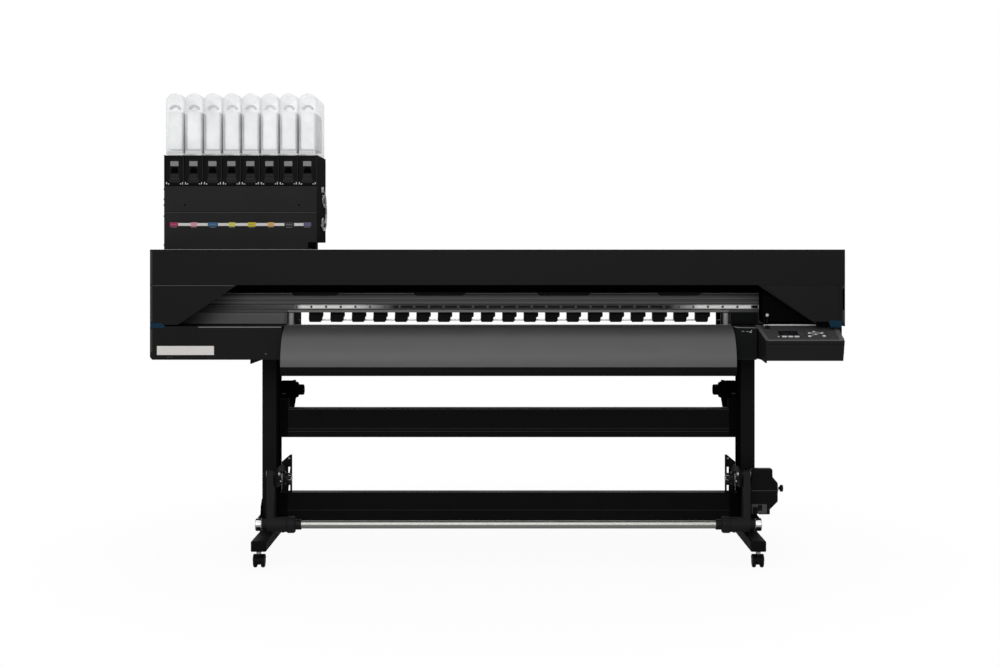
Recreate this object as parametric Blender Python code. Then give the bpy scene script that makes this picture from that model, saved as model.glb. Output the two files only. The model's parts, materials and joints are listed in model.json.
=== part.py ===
"""Roll-to-roll wide-format printer on its stand, with ink unit, take-up unit and tension bar.

Metres, +Z up, front towards -Y. The origin is on the floor, under the middle of the body.
"""

import math

import bmesh
import bpy
from mathutils import Vector

# Clearances
FIT = 0.0003            # between pieces that touch
RUNNING = 0.0004        # between a shaft and its hole
SEAM = 0.0006           # between the hood and the rear cover

# Body
BODY_WIDTH = 2.776
BODY_TOP = 1.264
BODY_BOTTOM = 0.8235
BODY_FRONT = -0.351
BODY_REAR = 0.250
COVER_WALL = 0.004
CASE_TOP = 0.957
HOOD_BOTTOM = 1.122
HOOD_REAR = -0.166
ACCENT_GAP = 0.006
REAR_COVER_BOTTOM = 1.020
DIAGONAL_RUN = 0.228
DIAGONAL_TOP = 0.348            # from the body's side to where the slanted edge starts
DIAGONAL_FOOT = 0.006
BODY_HALF = BODY_WIDTH / 2

# Media path
CENTRE_X = 0.044                # the stand and the media path sit right of the body's middle
PLATEN_WIDTH = 1.810
PLATEN_TOP = 0.949
PLATEN_FRONT = -0.262
PLATEN_REAR = -0.085
PLATEN_THICKNESS = 0.022
POST_RADIUS = 0.011
POST_INSET = 0.016
POST_Y = -0.186
ROLLER_Y = -0.140
GRID_RADIUS = 0.012
GRID_RISE = 0.001               # the grid roller stands this far above the platen
PINCH_COUNT = 19
PINCH_END = 0.1103              # from the platen's end to the nearest roller's middle
PINCH_RADIUS = 0.009
PINCH_BOTTOM = 0.965
PINCH_SHAFT = 0.003
PINCH_ARM_WIDTH = 0.052
PINCH_ARM_DEPTH = 0.030
PINCH_EAR = 0.004
PINCH_BAR = (0.044, 0.020)      # depth and height
GUIDE_LOW = 0.850
GUIDE_WALL = 0.003

# Chassis, rail beam and carriage
CHASSIS_Y = (-0.085, 0.220)
CHASSIS_TOP = 0.926
CHASSIS_INSET = 0.060
UPRIGHT = 0.012
UPRIGHT_Y = (-0.170, -0.050)
BAR_FRONT = -0.196
BAR_REAR = -0.060
BAR_BOTTOM = 1.0125
BAR_TOP = 1.086
BAR_LIP = 0.006
BAR_WALL = 0.020
BAR_CHANNEL = (-0.172, -0.108)
BAR_CHANNEL_TOP = 1.045
SKIRT_WALL = 0.003
RAIL_Z = (1.021, 1.039)
RAIL_DEPTH = 0.008
CARRIAGE_WIDTH = 0.262
CARRIAGE_FRONT = -0.300
CARRIAGE_Z = (0.972, 1.104)
CARRIAGE_PARK = 0.060           # from the body's side
CAP_Z = (0.9575, 0.968)

# Apron
APRON_SIDE_GAP = 0.005          # inside the platen's ends
APRON_WALL = 0.002
APRON_TOP = 0.957
APRON_BACK = -0.275
APRON_RADIUS = 0.150
APRON_HEM_TOP = 0.800
APRON_BOTTOM = 0.764
APRON_HEM_TURN = 0.022

# Control box and clamp lever
BOX_SIDE_GAP = 0.019
BOX_WIDTH = 0.311
BOX_FRONT = -0.440
BOX_REAR = -0.290
BOX_BOTTOM = 0.825
BOX_FRONT_TOP = 0.904
BOX_REAR_TOP = 0.960
BOX_SKEW = 0.022
PANEL_POCKET = 0.004
DISPLAY_X = (0.062, 0.137)      # from the box's left front corner, across and up the slope
DISPLAY_ALONG = (0.057, 0.097)
KEYS_X = (0.062, 0.144)
KEYS_ALONG = (0.030, 0.050)
PAD_X = (0.168, 0.252)
PAD_ALONG = (0.022, 0.100)
KEY_TRAVEL_GAP = 0.0025
KEY_PROUD = 0.0012
DISPLAY_SUNK = 0.0010
LEVER_INSET = 0.023
LEVER_Y = -0.327
LEVER_RISE = 0.049
LEVER_BALL = 0.0065

# Ink unit
BAY_COUNT = 8
BAY_PITCH = 0.0784
BAY_WALL = 0.003
INK_SIDE_GAP = 0.011
INK_FRONT = -0.140
INK_DEPTH = 0.320
INK_CABINET_TOP = 1.526
INK_FLOOR = 0.005
INK_TRAY_TOP = 1.654
INK_PACK_TOP = 1.9106
INK_PACK_DEPTH = 0.300
INK_WALL = 0.004
INK_NOTCH = (0.045, 0.042, 0.0287) # cleared under the rear right: width, distance from the front, height

# Stand
LEG_SPACING = 1.970
LEG_WIDTH = 0.068
LEG_Y = (-0.120, -0.030)
LEG_WALL = 0.004
FOOT_WIDTH = 0.061
FOOT_LENGTH = 0.880
FOOT_Z = (0.0725, 0.115)
UPPER_BEAM_Z = (0.485, 0.605)
UPPER_BEAM_Y = (-0.100, -0.040)
UPPER_BRACKET_TOP = 0.647
UPPER_BRACKET_WIDTH = 0.042
LOWER_BEAM_Z = (0.140, 0.258)
LOWER_BEAM_Y = (-0.115, -0.055)
BEAM_WALL = 0.004

# Casters
WHEEL_RADIUS = 0.025
WHEEL_WIDTH = 0.015
WHEEL_GAP = 0.016
WHEEL_AXLE = 0.004
CASTER_TRAIL = 0.014
CASTER_END_GAP = 0.050
CASTER_OUTWARD = 0.006          # from the foot's middle line
CASTER_HOOD = 0.0025
CASTER_STEM = 0.006

# Take-up unit and tension bar
TAKE_UP_Y = -0.240
TAKE_UP_Z = 0.336
TAKE_UP_LEG_GAP = 0.031         # from the leg to the bracket's plate
TAKE_UP_WALL = 0.008
TAKE_UP_STAND = (-0.024, 0.0185)   # the front-facing plate's ends, from the side plate's inner face
TAKE_UP_STAND_TOP = 0.415
TAKE_UP_SLOTS = (0.264, 0.339)  # the slots' lower ends
TAKE_UP_SLOT = (0.008, 0.025)
FLANGE_RADIUS = 0.028
FLANGE_LENGTH = 0.038
SPINDLE = 0.009
DANCER_Y = -0.340
DANCER_Z = 0.366
DANCER_PIN = 0.006
ARM_LENGTH = 0.202
ARM_WIDTH = 0.028
ARM_DEPTH = 0.030
ARM_GAP = 0.010
TUBE_RADIUS = 0.016
TUBE_DISC = 0.025
MOTOR_BOX_GAP = 0.013
MOTOR_BOX_WIDTH = 0.107
MOTOR_BOX_FRONT = -0.290
MOTOR_BOX_Z = (0.1955, 0.368)
MOTOR_BOX_SHOULDER = 0.3225
MOTOR_BOX_SLOPE = (0.090, 0.011)   # the top falls away behind its front part: where from, and how far
KNOB_DROP = 0.030
SWITCH_PIVOT = 0.004
SWITCH_WIDTH = 0.014
SWITCH_HEIGHT = 0.018

# Rear roll holders
ROLL_Y = 0.230
ROLL_Z = 0.654
ROLL_LEG_GAP = 0.022
ROLL_WALL = 0.012
ROLL_BLOCK_GAP = 0.012     # behind the leg
ROLL_BLOCK_REACH = 0.037   # past the leg's inner face
ROLL_CONE = 0.037
ROLL_HUB = 0.022
ROLL_HUB_LENGTH = 0.039

# Places worked out from the sizes above
PLATEN_X = (CENTRE_X - PLATEN_WIDTH / 2, CENTRE_X + PLATEN_WIDTH / 2)
LEFT_CASE_END = PLATEN_X[0] - FIT
RIGHT_CASE_END = PLATEN_X[1] + FIT
BAR_HALF = BODY_HALF - CHASSIS_INSET - UPRIGHT - FIT
BAR_X = (-BAR_HALF, BAR_HALF)
BOX_RIGHT = BODY_HALF - BOX_SIDE_GAP
BOX_LEFT = BOX_RIGHT - BOX_WIDTH
INK_X = (-BODY_HALF + INK_SIDE_GAP, -BODY_HALF + INK_SIDE_GAP + BAY_COUNT * BAY_PITCH + BAY_WALL)
PINCH_Z = PINCH_BOTTOM + PINCH_RADIUS
PINCH_PITCH = (PLATEN_WIDTH - 2 * PINCH_END) / (PINCH_COUNT - 1)
APRON_WIDTH = PLATEN_WIDTH - 2 * APRON_SIDE_GAP
LEG_INSIDE = LEG_SPACING / 2 - LEG_WIDTH / 2
TAKE_UP_PLATE = LEG_INSIDE - TAKE_UP_LEG_GAP     # from the stand's middle to the plate's inner face
ROLL_PLATE = LEG_INSIDE - ROLL_LEG_GAP
MOTOR_BOX_Y = (MOTOR_BOX_FRONT, LEG_Y[0] - FIT)


def material(name, colour, roughness, metallic=0.0):
    made = bpy.data.materials.new(name)
    made.use_nodes = True
    shader = made.node_tree.nodes["Principled BSDF"]
    shader.inputs["Base Color"].default_value = (*colour, 1.0)
    shader.inputs["Roughness"].default_value = roughness
    shader.inputs["Metallic"].default_value = metallic
    made.diffuse_color = (*colour, 1.0)
    return made


def clear_scene():
    for old in list(bpy.data.objects):
        bpy.data.objects.remove(old)


def assembly(name, place=(0, 0, 0)):
    """An empty on a joint's axis, which carries the pieces that move together."""
    empty = bpy.data.objects.new(name, None)
    empty.location = place
    bpy.context.scene.collection.objects.link(empty)
    return empty


def solid(name, mesh, look, origin=(0, 0, 0), carrier=None):
    """Links a bmesh as a named object whose origin is given in the printer's frame."""
    bmesh.ops.recalc_face_normals(mesh, faces=mesh.faces)
    bmesh.ops.translate(mesh, vec=-Vector(origin), verts=mesh.verts)
    data = bpy.data.meshes.new(name)
    mesh.to_mesh(data)
    mesh.free()
    made = bpy.data.objects.new(name, data)
    made.location = origin
    bpy.context.scene.collection.objects.link(made)
    if look:
        data.materials.append(look)
    if carrier:
        made.parent = carrier
        made.location = Vector(origin) - carrier.location
    return made


def block_mesh(x, y, z):
    mesh = bmesh.new()
    corners = [(a, b, c) for a in x for b in y for c in z]
    bmesh.ops.convex_hull(mesh, input=[mesh.verts.new(corner) for corner in corners])
    return mesh


def hull_mesh(points):
    mesh = bmesh.new()
    bmesh.ops.convex_hull(mesh, input=[mesh.verts.new(point) for point in points])
    return mesh


def prism_mesh(outline, axis, span):
    """Extrudes an outline along X, Y or Z. Its points are the other two coordinates, in order."""
    place = {
        "X": lambda a, b, s: (s, a, b),
        "Y": lambda a, b, s: (a, s, b),
        "Z": lambda a, b, s: (a, b, s),
    }[axis]
    mesh = bmesh.new()
    rows = [[mesh.verts.new(place(a, b, s)) for a, b in outline] for s in span]
    mesh.faces.new(rows[0])
    mesh.faces.new(rows[1][::-1])
    count = len(outline)
    for i in range(count):
        j = (i + 1) % count
        mesh.faces.new((rows[0][i], rows[0][j], rows[1][j], rows[1][i]))
    return mesh


def turned_mesh(profile, centre, steps=24):
    """Turns a profile of (x, radius) about the X line through centre (y, z), closed on the line."""
    mesh = bmesh.new()
    rings = []
    for x, radius in profile:
        if radius == 0:
            rings.append([mesh.verts.new((x, *centre))])
            continue
        angles = [2 * math.pi * k / steps for k in range(steps)]
        rings.append([
            mesh.verts.new((x, centre[0] + radius * math.cos(a), centre[1] + radius * math.sin(a)))
            for a in angles
        ])
    for near, far in zip(rings, rings[1:]):
        for k in range(steps):
            n = (k + 1) % steps
            corners = [near[k % len(near)], near[n % len(near)], far[n % len(far)], far[k % len(far)]]
            mesh.faces.new(list(dict.fromkeys(corners)))
    return mesh


def rod_mesh(x, radius, centre, steps=24):
    return turned_mesh([(x[0], 0), (x[0], radius), (x[1], radius), (x[1], 0)], centre, steps)


def upright_rod_mesh(z, radius, centre, steps=16):
    return prism_mesh(arc(centre, radius, 0, 360 - 360 / steps, steps - 1), "Z", z)


def arc(centre, radius, start, end, steps):
    """Points on a circle's arc, in degrees."""
    angles = [math.radians(start + (end - start) * k / steps) for k in range(steps + 1)]
    return [(centre[0] + radius * math.cos(a), centre[1] + radius * math.sin(a)) for a in angles]


def helper(target, mesh, operation):
    """Adds a hidden shape to a piece, or cuts it away, with a Boolean modifier."""
    tool = solid(target.name + "_" + operation.lower(), mesh, None)
    tool.hide_render = True
    tool.display_type = "WIRE"
    boolean = target.modifiers.new(operation.title(), "BOOLEAN")
    boolean.operation = operation
    boolean.solver = "EXACT"
    boolean.object = tool
    return tool


def join(target, mesh):
    return helper(target, mesh, "UNION")


def cut(target, mesh):
    return helper(target, mesh, "DIFFERENCE")


def repeat(tool, count, step):
    array = tool.modifiers.new("Row", "ARRAY")
    array.count = count
    array.use_relative_offset = False
    array.use_constant_offset = True
    array.constant_offset_displace = step


def smooth(piece, degrees=35):
    piece.data.shade_smooth()
    piece.data.set_sharp_from_angle(angle=math.radians(degrees))
    return piece


def soften(piece, width, segments=1):
    bevel = piece.modifiers.new("Edges", "BEVEL")
    bevel.width = width
    bevel.segments = segments
    bevel.limit_method = "ANGLE"
    bevel.angle_limit = math.radians(40)
    return piece


def mirrored(x, side):
    """A distance from the stand's middle, on the left (-1) or right (+1), as an X span low to high."""
    ends = sorted((CENTRE_X + side * x[0], CENTRE_X + side * x[1]))
    return tuple(ends)


# Stand

def make_stand(looks):
    half = LEG_SPACING / 2
    for label, side in (("left", -1), ("right", 1)):
        x = CENTRE_X + side * half
        foot = solid(
            label + "_foot",
            block_mesh((x - FOOT_WIDTH / 2, x + FOOT_WIDTH / 2), (-FOOT_LENGTH / 2, FOOT_LENGTH / 2), FOOT_Z),
            looks["stand"],
        )
        soften(foot, 0.003)
        leg_x = (x - LEG_WIDTH / 2, x + LEG_WIDTH / 2)
        leg_z = (FOOT_Z[1] + FIT, BODY_BOTTOM - FIT)
        leg = solid(label + "_leg", block_mesh(leg_x, LEG_Y, leg_z), looks["stand"])
        bore_x = (leg_x[0] + LEG_WALL, leg_x[1] - LEG_WALL)
        bore_y = (LEG_Y[0] + LEG_WALL, LEG_Y[1] - LEG_WALL)
        cut(leg, block_mesh(bore_x, bore_y, (leg_z[0] - LEG_WALL, leg_z[1] - LEG_WALL)))
    inner = half - LEG_WIDTH / 2 - FIT
    make_beam("upper_beam", inner, UPPER_BEAM_Y, UPPER_BEAM_Z, looks)
    for side in (-1, 1):
        bracket_x = mirrored((inner, inner - UPPER_BRACKET_WIDTH), side)
        bracket_y = (UPPER_BEAM_Y[0], UPPER_BEAM_Y[0] + BEAM_WALL)
        bracket_z = (UPPER_BEAM_Z[1] - 2 * BEAM_WALL, UPPER_BRACKET_TOP)
        join(bpy.data.objects["upper_beam"], block_mesh(bracket_x, bracket_y, bracket_z))
    make_beam("lower_beam", inner, LOWER_BEAM_Y, LOWER_BEAM_Z, looks)


def make_beam(name, half_length, y, z, looks):
    """A folded channel, open at the back."""
    wall = BEAM_WALL
    outline = [
        (y[0], z[0]), (y[1], z[0]), (y[1], z[0] + wall), (y[0] + wall, z[0] + wall),
        (y[0] + wall, z[1] - wall), (y[1], z[1] - wall), (y[1], z[1]), (y[0], z[1]),
    ]
    return solid(name, prism_mesh(outline, "X", mirrored((-half_length, half_length), 1)), looks["stand"])


def make_casters(looks):
    for label, side, end in (
        ("front_left", -1, -1), ("front_right", 1, -1), ("rear_left", -1, 1), ("rear_right", 1, 1),
    ):
        x = CENTRE_X + side * (LEG_SPACING / 2 + CASTER_OUTWARD)
        stem_y = end * (FOOT_LENGTH / 2 - CASTER_END_GAP)
        make_caster(label, x, stem_y, looks)


def make_caster(label, x, stem_y, looks):
    swivel = assembly(label + "_swivel", (x, stem_y, FOOT_Z[0]))
    axle = (stem_y + CASTER_TRAIL, WHEEL_RADIUS)
    web_x = (x - WHEEL_GAP / 2 + FIT, x + WHEEL_GAP / 2 - FIT)
    hood_radius = WHEEL_RADIUS + 2 * RUNNING + CASTER_HOOD
    outline = arc(axle, hood_radius, 200, 20, 10) + arc(axle, WHEEL_RADIUS * 0.55, -20, -160, 5)
    fork = solid(label + "_caster_fork", prism_mesh(outline, "X", web_x), looks["black"],
                 (x, stem_y, FOOT_Z[0]), swivel)
    hood = arc(axle, hood_radius, 165, 15, 10) + arc(axle, WHEEL_RADIUS + 2 * RUNNING, 15, 165, 10)
    half = WHEEL_GAP / 2 + WHEEL_WIDTH - FIT
    join(fork, prism_mesh(hood, "X", (x - half, x + half)))
    join(fork, upright_rod_mesh((WHEEL_RADIUS * 1.7, FOOT_Z[0] - FIT), CASTER_STEM, (x, stem_y), 12))
    plate = CASTER_STEM * 2.2
    join(fork, upright_rod_mesh((FOOT_Z[0] - 0.006, FOOT_Z[0] - FIT - 0.0001), plate, (x, stem_y), 12))
    cut(fork, rod_mesh((web_x[0] - 0.01, web_x[1] + 0.01), WHEEL_AXLE + RUNNING, axle, 16))
    inner, outer = WHEEL_GAP / 2, WHEEL_GAP / 2 + WHEEL_WIDTH
    tread = WHEEL_RADIUS - 0.001
    profile = [
        (x - outer, 0), (x - outer, tread), (x - outer + 0.001, WHEEL_RADIUS), (x - inner, WHEEL_RADIUS),
        (x - inner, WHEEL_AXLE), (x + inner, WHEEL_AXLE), (x + inner, WHEEL_RADIUS),
        (x + outer - 0.001, WHEEL_RADIUS), (x + outer, tread), (x + outer, 0),
    ]
    smooth(solid(label + "_caster_wheels", turned_mesh(profile, axle, 24), looks["tyre"], (x, *axle), swivel))


# Take-up unit and tension bar

def make_take_up(looks):
    for label, side in (("left", -1), ("right", 1)):
        plate_x = mirrored((TAKE_UP_PLATE, TAKE_UP_PLATE + TAKE_UP_WALL), side)
        plate = [
            (LOWER_BEAM_Y[0], TAKE_UP_Z - 0.031), (DANCER_Y - 0.022, TAKE_UP_Z - 0.020),
            (DANCER_Y - 0.022, DANCER_Z + 0.018), (DANCER_Y + 0.022, DANCER_Z + 0.026),
            (LOWER_BEAM_Y[0] + 0.005, DANCER_Z + 0.010),
        ]
        bracket = solid(label + "_take_up_bracket", prism_mesh(plate, "X", plate_x), looks["stand"])
        stand_y = (LOWER_BEAM_Y[0], LOWER_BEAM_Y[0] + 0.005)
        far, near = TAKE_UP_PLATE + TAKE_UP_STAND[0], TAKE_UP_PLATE + TAKE_UP_STAND[1]
        low, high = LOWER_BEAM_Z[1] + FIT, TAKE_UP_STAND_TOP
        face = [
            (CENTRE_X + side * near, low), (CENTRE_X + side * far, low),
            (CENTRE_X + side * far, high), (CENTRE_X + side * (far + 0.008), high),
            (CENTRE_X + side * near, high - 0.029),
        ]
        join(bracket, prism_mesh(face, "Y", stand_y))
        middle = CENTRE_X + side * (TAKE_UP_PLATE + TAKE_UP_STAND[0] / 2)
        slot_x = (middle - TAKE_UP_SLOT[0] / 2, middle + TAKE_UP_SLOT[0] / 2)
        for slot_z in TAKE_UP_SLOTS:
            cut(bracket, block_mesh(slot_x, (stand_y[0] - 0.01, stand_y[1] + 0.01),
                                    (slot_z, slot_z + TAKE_UP_SLOT[1])))
        hole_x = (plate_x[0] - 0.005, plate_x[1] + 0.005)
        cut(bracket, rod_mesh(hole_x, SPINDLE + RUNNING, (TAKE_UP_Y, TAKE_UP_Z)))
        cut(bracket, rod_mesh(hole_x, DANCER_PIN + RUNNING, (DANCER_Y, DANCER_Z)))
    make_flange("take_up_idle_flange", -1, TAKE_UP_PLATE + TAKE_UP_WALL + 0.021, looks)
    make_flange("take_up_drive_flange", 1, motor_box_left() - CENTRE_X - FIT, looks)
    make_motor_box(looks)


def motor_box_left():
    return CENTRE_X + TAKE_UP_PLATE + TAKE_UP_WALL + ARM_GAP + ARM_WIDTH + MOTOR_BOX_GAP


def make_flange(name, side, outer, looks):
    """A stepped core flange inside the plate, and its spindle through it."""
    inner = TAKE_UP_PLATE - FIT
    tip = inner - FLANGE_LENGTH
    collar = TAKE_UP_PLATE + TAKE_UP_WALL + FIT
    profile = [
        (tip, 0), (tip, FLANGE_RADIUS * 0.62), (tip + FLANGE_LENGTH * 0.6, FLANGE_RADIUS * 0.78),
        (tip + FLANGE_LENGTH * 0.6, FLANGE_RADIUS), (inner, FLANGE_RADIUS), (inner, SPINDLE),
        (collar, SPINDLE), (collar, SPINDLE * 1.6), (outer, SPINDLE * 1.6), (outer, 0),
    ]
    profile = [(CENTRE_X + side * x, r) for x, r in profile]
    axis = (TAKE_UP_Y, TAKE_UP_Z)
    return smooth(solid(name, turned_mesh(profile, axis), looks["black"], (profile[0][0], *axis)))


def make_motor_box(looks):
    left = motor_box_left()
    right = left + MOTOR_BOX_WIDTH
    low, high = MOTOR_BOX_Z
    shoulder = MOTOR_BOX_SHOULDER
    outline = [
        (left, low + 0.045), (left + 0.030, low), (right - 0.032, low), (right - 0.032, low + 0.020),
        (right, low + 0.052), (right, shoulder), (right - 0.021, shoulder + 0.024),
        (right - 0.021, high - 0.008), (right - 0.029, high), (left + 0.006, high), (left, high - 0.006),
    ]
    box = solid("take_up_motor_box", prism_mesh(outline, "Y", MOTOR_BOX_Y), looks["black"])
    start = MOTOR_BOX_Y[0] + MOTOR_BOX_SLOPE[0]
    above, behind = high + 0.010, MOTOR_BOX_Y[1] + 0.010
    wedge = [(start, high), (behind, high - MOTOR_BOX_SLOPE[1]), (behind, above), (start, above)]
    cut(box, prism_mesh(wedge, "X", (left - 0.010, right + 0.010)))
    soften(box, 0.002)
    knob_axis = (MOTOR_BOX_Y[0] + 0.060, shoulder - KNOB_DROP)
    knob = [(right + FIT, 0), (right + FIT, 0.011), (right + 0.010, 0.011), (right + 0.010, 0.006),
            (right + 0.018, 0.006), (right + 0.018, 0.013), (right + 0.030, 0.013), (right + 0.030, 0)]
    smooth(solid("take_up_knob", turned_mesh(knob, knob_axis, 16), looks["black"], (right, *knob_axis)))
    make_switch((left + 0.034, MOTOR_BOX_Y[0] - SWITCH_PIVOT, low + 0.028), looks)


def make_switch(pivot, looks):
    """A rocker whose back tapers away from the box, so both its ends can tip towards it."""
    back, end = SWITCH_PIVOT - FIT, SWITCH_HEIGHT / 2
    outline = [
        (back, -0.002), (back, 0.002), (back - 0.0015, end), (-0.006, end - 0.001), (-0.003, 0),
        (-0.006, 0.001 - end), (back - 0.0015, -end),
    ]
    rocker = [(pivot[1] + y, pivot[2] + z) for y, z in outline]
    span = (pivot[0] - SWITCH_WIDTH / 2, pivot[0] + SWITCH_WIDTH / 2)
    solid("take_up_switch", prism_mesh(rocker, "X", span), looks["black"], pivot)


def make_dancer(looks):
    """Two hanging arms with bearing hubs, and the tube that turns in them."""
    swing = assembly("dancer_pivot", (CENTRE_X, DANCER_Y, DANCER_Z))
    low = DANCER_Z - ARM_LENGTH
    axis = (DANCER_Y, low)
    arm_in = TAKE_UP_PLATE + TAKE_UP_WALL + ARM_GAP
    arm_out = arm_in + ARM_WIDTH
    for label, side in (("left", -1), ("right", 1)):
        half = ARM_DEPTH / 2
        outline = arc((DANCER_Y, DANCER_Z), half, 0, 180, 8) + arc((DANCER_Y, low), half, 180, 360, 8)
        arm = solid(label + "_dancer_arm", prism_mesh(outline, "X", mirrored((arm_in, arm_out), side)),
                    looks["black"], (CENTRE_X, DANCER_Y, DANCER_Z), swing)
        shoulder = mirrored((arm_in + 0.002, TAKE_UP_PLATE + TAKE_UP_WALL + FIT), side)
        join(arm, rod_mesh(shoulder, DANCER_PIN * 1.8, (DANCER_Y, DANCER_Z), 16))
        join(arm, rod_mesh(mirrored((arm_in, TAKE_UP_PLATE + 0.001), side), DANCER_PIN,
                           (DANCER_Y, DANCER_Z), 16))
        hub = [
            (arm_out + 0.020, 0), (arm_out + 0.020, 0.020), (arm_out - 0.002, 0.020),
            (arm_out - 0.002, 0.030),
            (arm_in - 0.056, 0.030), (arm_in - 0.056, 0.024), (arm_in - 0.070, 0.024),
            (arm_in - 0.092, 0.036), (arm_in - 0.098, 0.036), (arm_in - 0.098, 0),
        ]
        hub = [(CENTRE_X + side * x, r) for x, r in hub]
        join(arm, turned_mesh(hub, axis))
        reach = mirrored((arm_out + 0.040, arm_in - 0.120), side)
        cut(arm, rod_mesh(reach, TUBE_RADIUS + RUNNING, axis, 32))
    end = arm_out + 0.020 + FIT
    tip = end + 0.024
    tube = [(-tip, 0), (-tip, TUBE_DISC), (-end, TUBE_DISC), (-end, TUBE_RADIUS),
            (end, TUBE_RADIUS), (end, TUBE_DISC), (tip, TUBE_DISC), (tip, 0)]
    tube = [(CENTRE_X + x, r) for x, r in tube]
    smooth(solid("tension_tube", turned_mesh(tube, axis, 32), looks["steel"], (CENTRE_X, *axis), swing))


# Rear roll holders

def make_roll_holders(looks):
    back = UPPER_BEAM_Y[1] + FIT
    for label, side in (("left", -1), ("right", 1)):
        outline = [
            (back, UPPER_BEAM_Z[0]), (back, UPPER_BEAM_Z[1]), (ROLL_Y - 0.030, ROLL_Z + 0.040),
            (ROLL_Y + 0.030, ROLL_Z + 0.040), (ROLL_Y + 0.030, ROLL_Z - 0.040),
            (ROLL_Y - 0.150, UPPER_BEAM_Z[0]),
        ]
        plate_x = mirrored((ROLL_PLATE, ROLL_PLATE + ROLL_WALL), side)
        holder = solid(label + "_roll_holder", prism_mesh(outline, "X", plate_x), looks["stand"])
        start = LEG_Y[1] + ROLL_BLOCK_GAP
        block = [
            (start, UPPER_BEAM_Z[0] + 0.002), (start, UPPER_BEAM_Z[1] + 0.004),
            (ROLL_Y - 0.030, ROLL_Z + 0.038), (ROLL_Y + 0.028, ROLL_Z + 0.038),
            (ROLL_Y + 0.028, ROLL_Z - 0.038), (ROLL_Y - 0.150, UPPER_BEAM_Z[0] + 0.002),
        ]
        end = LEG_INSIDE + ROLL_BLOCK_REACH
        join(holder, prism_mesh(block, "X", mirrored((ROLL_PLATE + ROLL_WALL / 2, end), side)))
        inner, outer = ROLL_PLATE - FIT, end + FIT
        bore = mirrored((inner - 0.005, outer + 0.005), side)
        cut(holder, rod_mesh(bore, SPINDLE + RUNNING, (ROLL_Y, ROLL_Z)))
        cone = [
            (inner - ROLL_HUB_LENGTH, 0), (inner - ROLL_HUB_LENGTH, ROLL_HUB - 0.002),
            (inner - ROLL_HUB_LENGTH + 0.002, ROLL_HUB), (inner - 0.015, ROLL_HUB),
            (inner - 0.014, ROLL_CONE - 0.005), (inner, ROLL_CONE), (inner, SPINDLE), (outer, SPINDLE),
            (outer, SPINDLE * 2), (outer + 0.012, SPINDLE * 2), (outer + 0.012, 0),
        ]
        cone = [(CENTRE_X + side * x, r) for x, r in cone]
        flange = solid(label + "_roll_flange", turned_mesh(cone, (ROLL_Y, ROLL_Z)), looks["black"],
                       (cone[0][0], ROLL_Y, ROLL_Z))
        smooth(flange)


# Body structure

def make_chassis(looks):
    """The bed beam and its two end uprights, which carry the rail beam."""
    half = BODY_HALF - CHASSIS_INSET
    chassis = solid(
        "chassis", block_mesh((-half, half), CHASSIS_Y, (BODY_BOTTOM, CHASSIS_TOP)), looks["dark_metal"]
    )
    for x in ((-half, -half + UPRIGHT), (half - UPRIGHT, half)):
        join(chassis, block_mesh(x, UPRIGHT_Y, (CHASSIS_TOP - 0.030, BAR_TOP)))
    bay = (-half + 0.020, half - 0.020)
    cut(chassis, block_mesh(bay, (CHASSIS_Y[0] + 0.006, CHASSIS_Y[1] - 0.006),
                            (BODY_BOTTOM - 0.01, CHASSIS_TOP - 0.006)))


def make_media_path(looks):
    low = PLATEN_TOP - PLATEN_THICKNESS
    platen = solid("platen", block_mesh(PLATEN_X, (PLATEN_FRONT, PLATEN_REAR), (low, PLATEN_TOP)),
                   looks["bar"])
    ledge_y = (PLATEN_REAR - 0.002, PLATEN_REAR + 0.060)
    ledge_z = (CHASSIS_TOP + FIT, PLATEN_TOP - 0.010)
    join(platen, block_mesh((PLATEN_X[0] + 0.020, PLATEN_X[1] - 0.020), ledge_y, ledge_z))
    for x in (PLATEN_X[0] + POST_INSET, PLATEN_X[1] - POST_INSET):
        join(platen, upright_rod_mesh((low + 0.005, BAR_BOTTOM - BAR_LIP - FIT), POST_RADIUS, (x, POST_Y)))
    grid_z = PLATEN_TOP + GRID_RISE - GRID_RADIUS
    slot_x = (PLATEN_X[0] + 0.036, PLATEN_X[1] - 0.036)
    slot = GRID_RADIUS + 0.002
    cut(platen, block_mesh(slot_x, (ROLLER_Y - slot, ROLLER_Y + slot), (low - 0.01, PLATEN_TOP + 0.01)))
    journal = 0.006
    ends = (slot_x[0] - 0.012, slot_x[1] + 0.012)
    cut(platen, rod_mesh((ends[0] - FIT, ends[1] + FIT), journal + RUNNING, (ROLLER_Y, grid_z), 16))
    roller = [
        (ends[0], 0), (ends[0], journal), (slot_x[0] + FIT, journal), (slot_x[0] + FIT, GRID_RADIUS),
        (slot_x[1] - FIT, GRID_RADIUS), (slot_x[1] - FIT, journal), (ends[1], journal), (ends[1], 0),
    ]
    smooth(solid("grid_roller", turned_mesh(roller, (ROLLER_Y, grid_z)), looks["steel"],
                 (CENTRE_X, ROLLER_Y, grid_z)))
    make_rear_guide(looks)


def make_rear_guide(looks):
    """The sheet that leads the media up from the rear roll and over the chassis."""
    start = CHASSIS_Y[0] + 0.100
    low = CHASSIS_TOP + FIT
    high = low + GUIDE_WALL
    radius = BODY_REAR - COVER_WALL - CHASSIS_Y[1] - FIT
    centre = (CHASSIS_Y[1] + FIT, high - radius)
    outer = [(start, high)] + arc(centre, radius, 90, 0, 6) + [(centre[0] + radius, GUIDE_LOW)]
    inner = [(start, low)] + arc(centre, radius - GUIDE_WALL, 90, 0, 6)
    inner += [(centre[0] + radius - GUIDE_WALL, GUIDE_LOW)]
    span = (PLATEN_X[0] + FIT, PLATEN_X[1] - FIT)
    smooth(solid("rear_media_guide", prism_mesh(outer + inner[::-1], "X", span), looks["stand"]))


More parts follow.
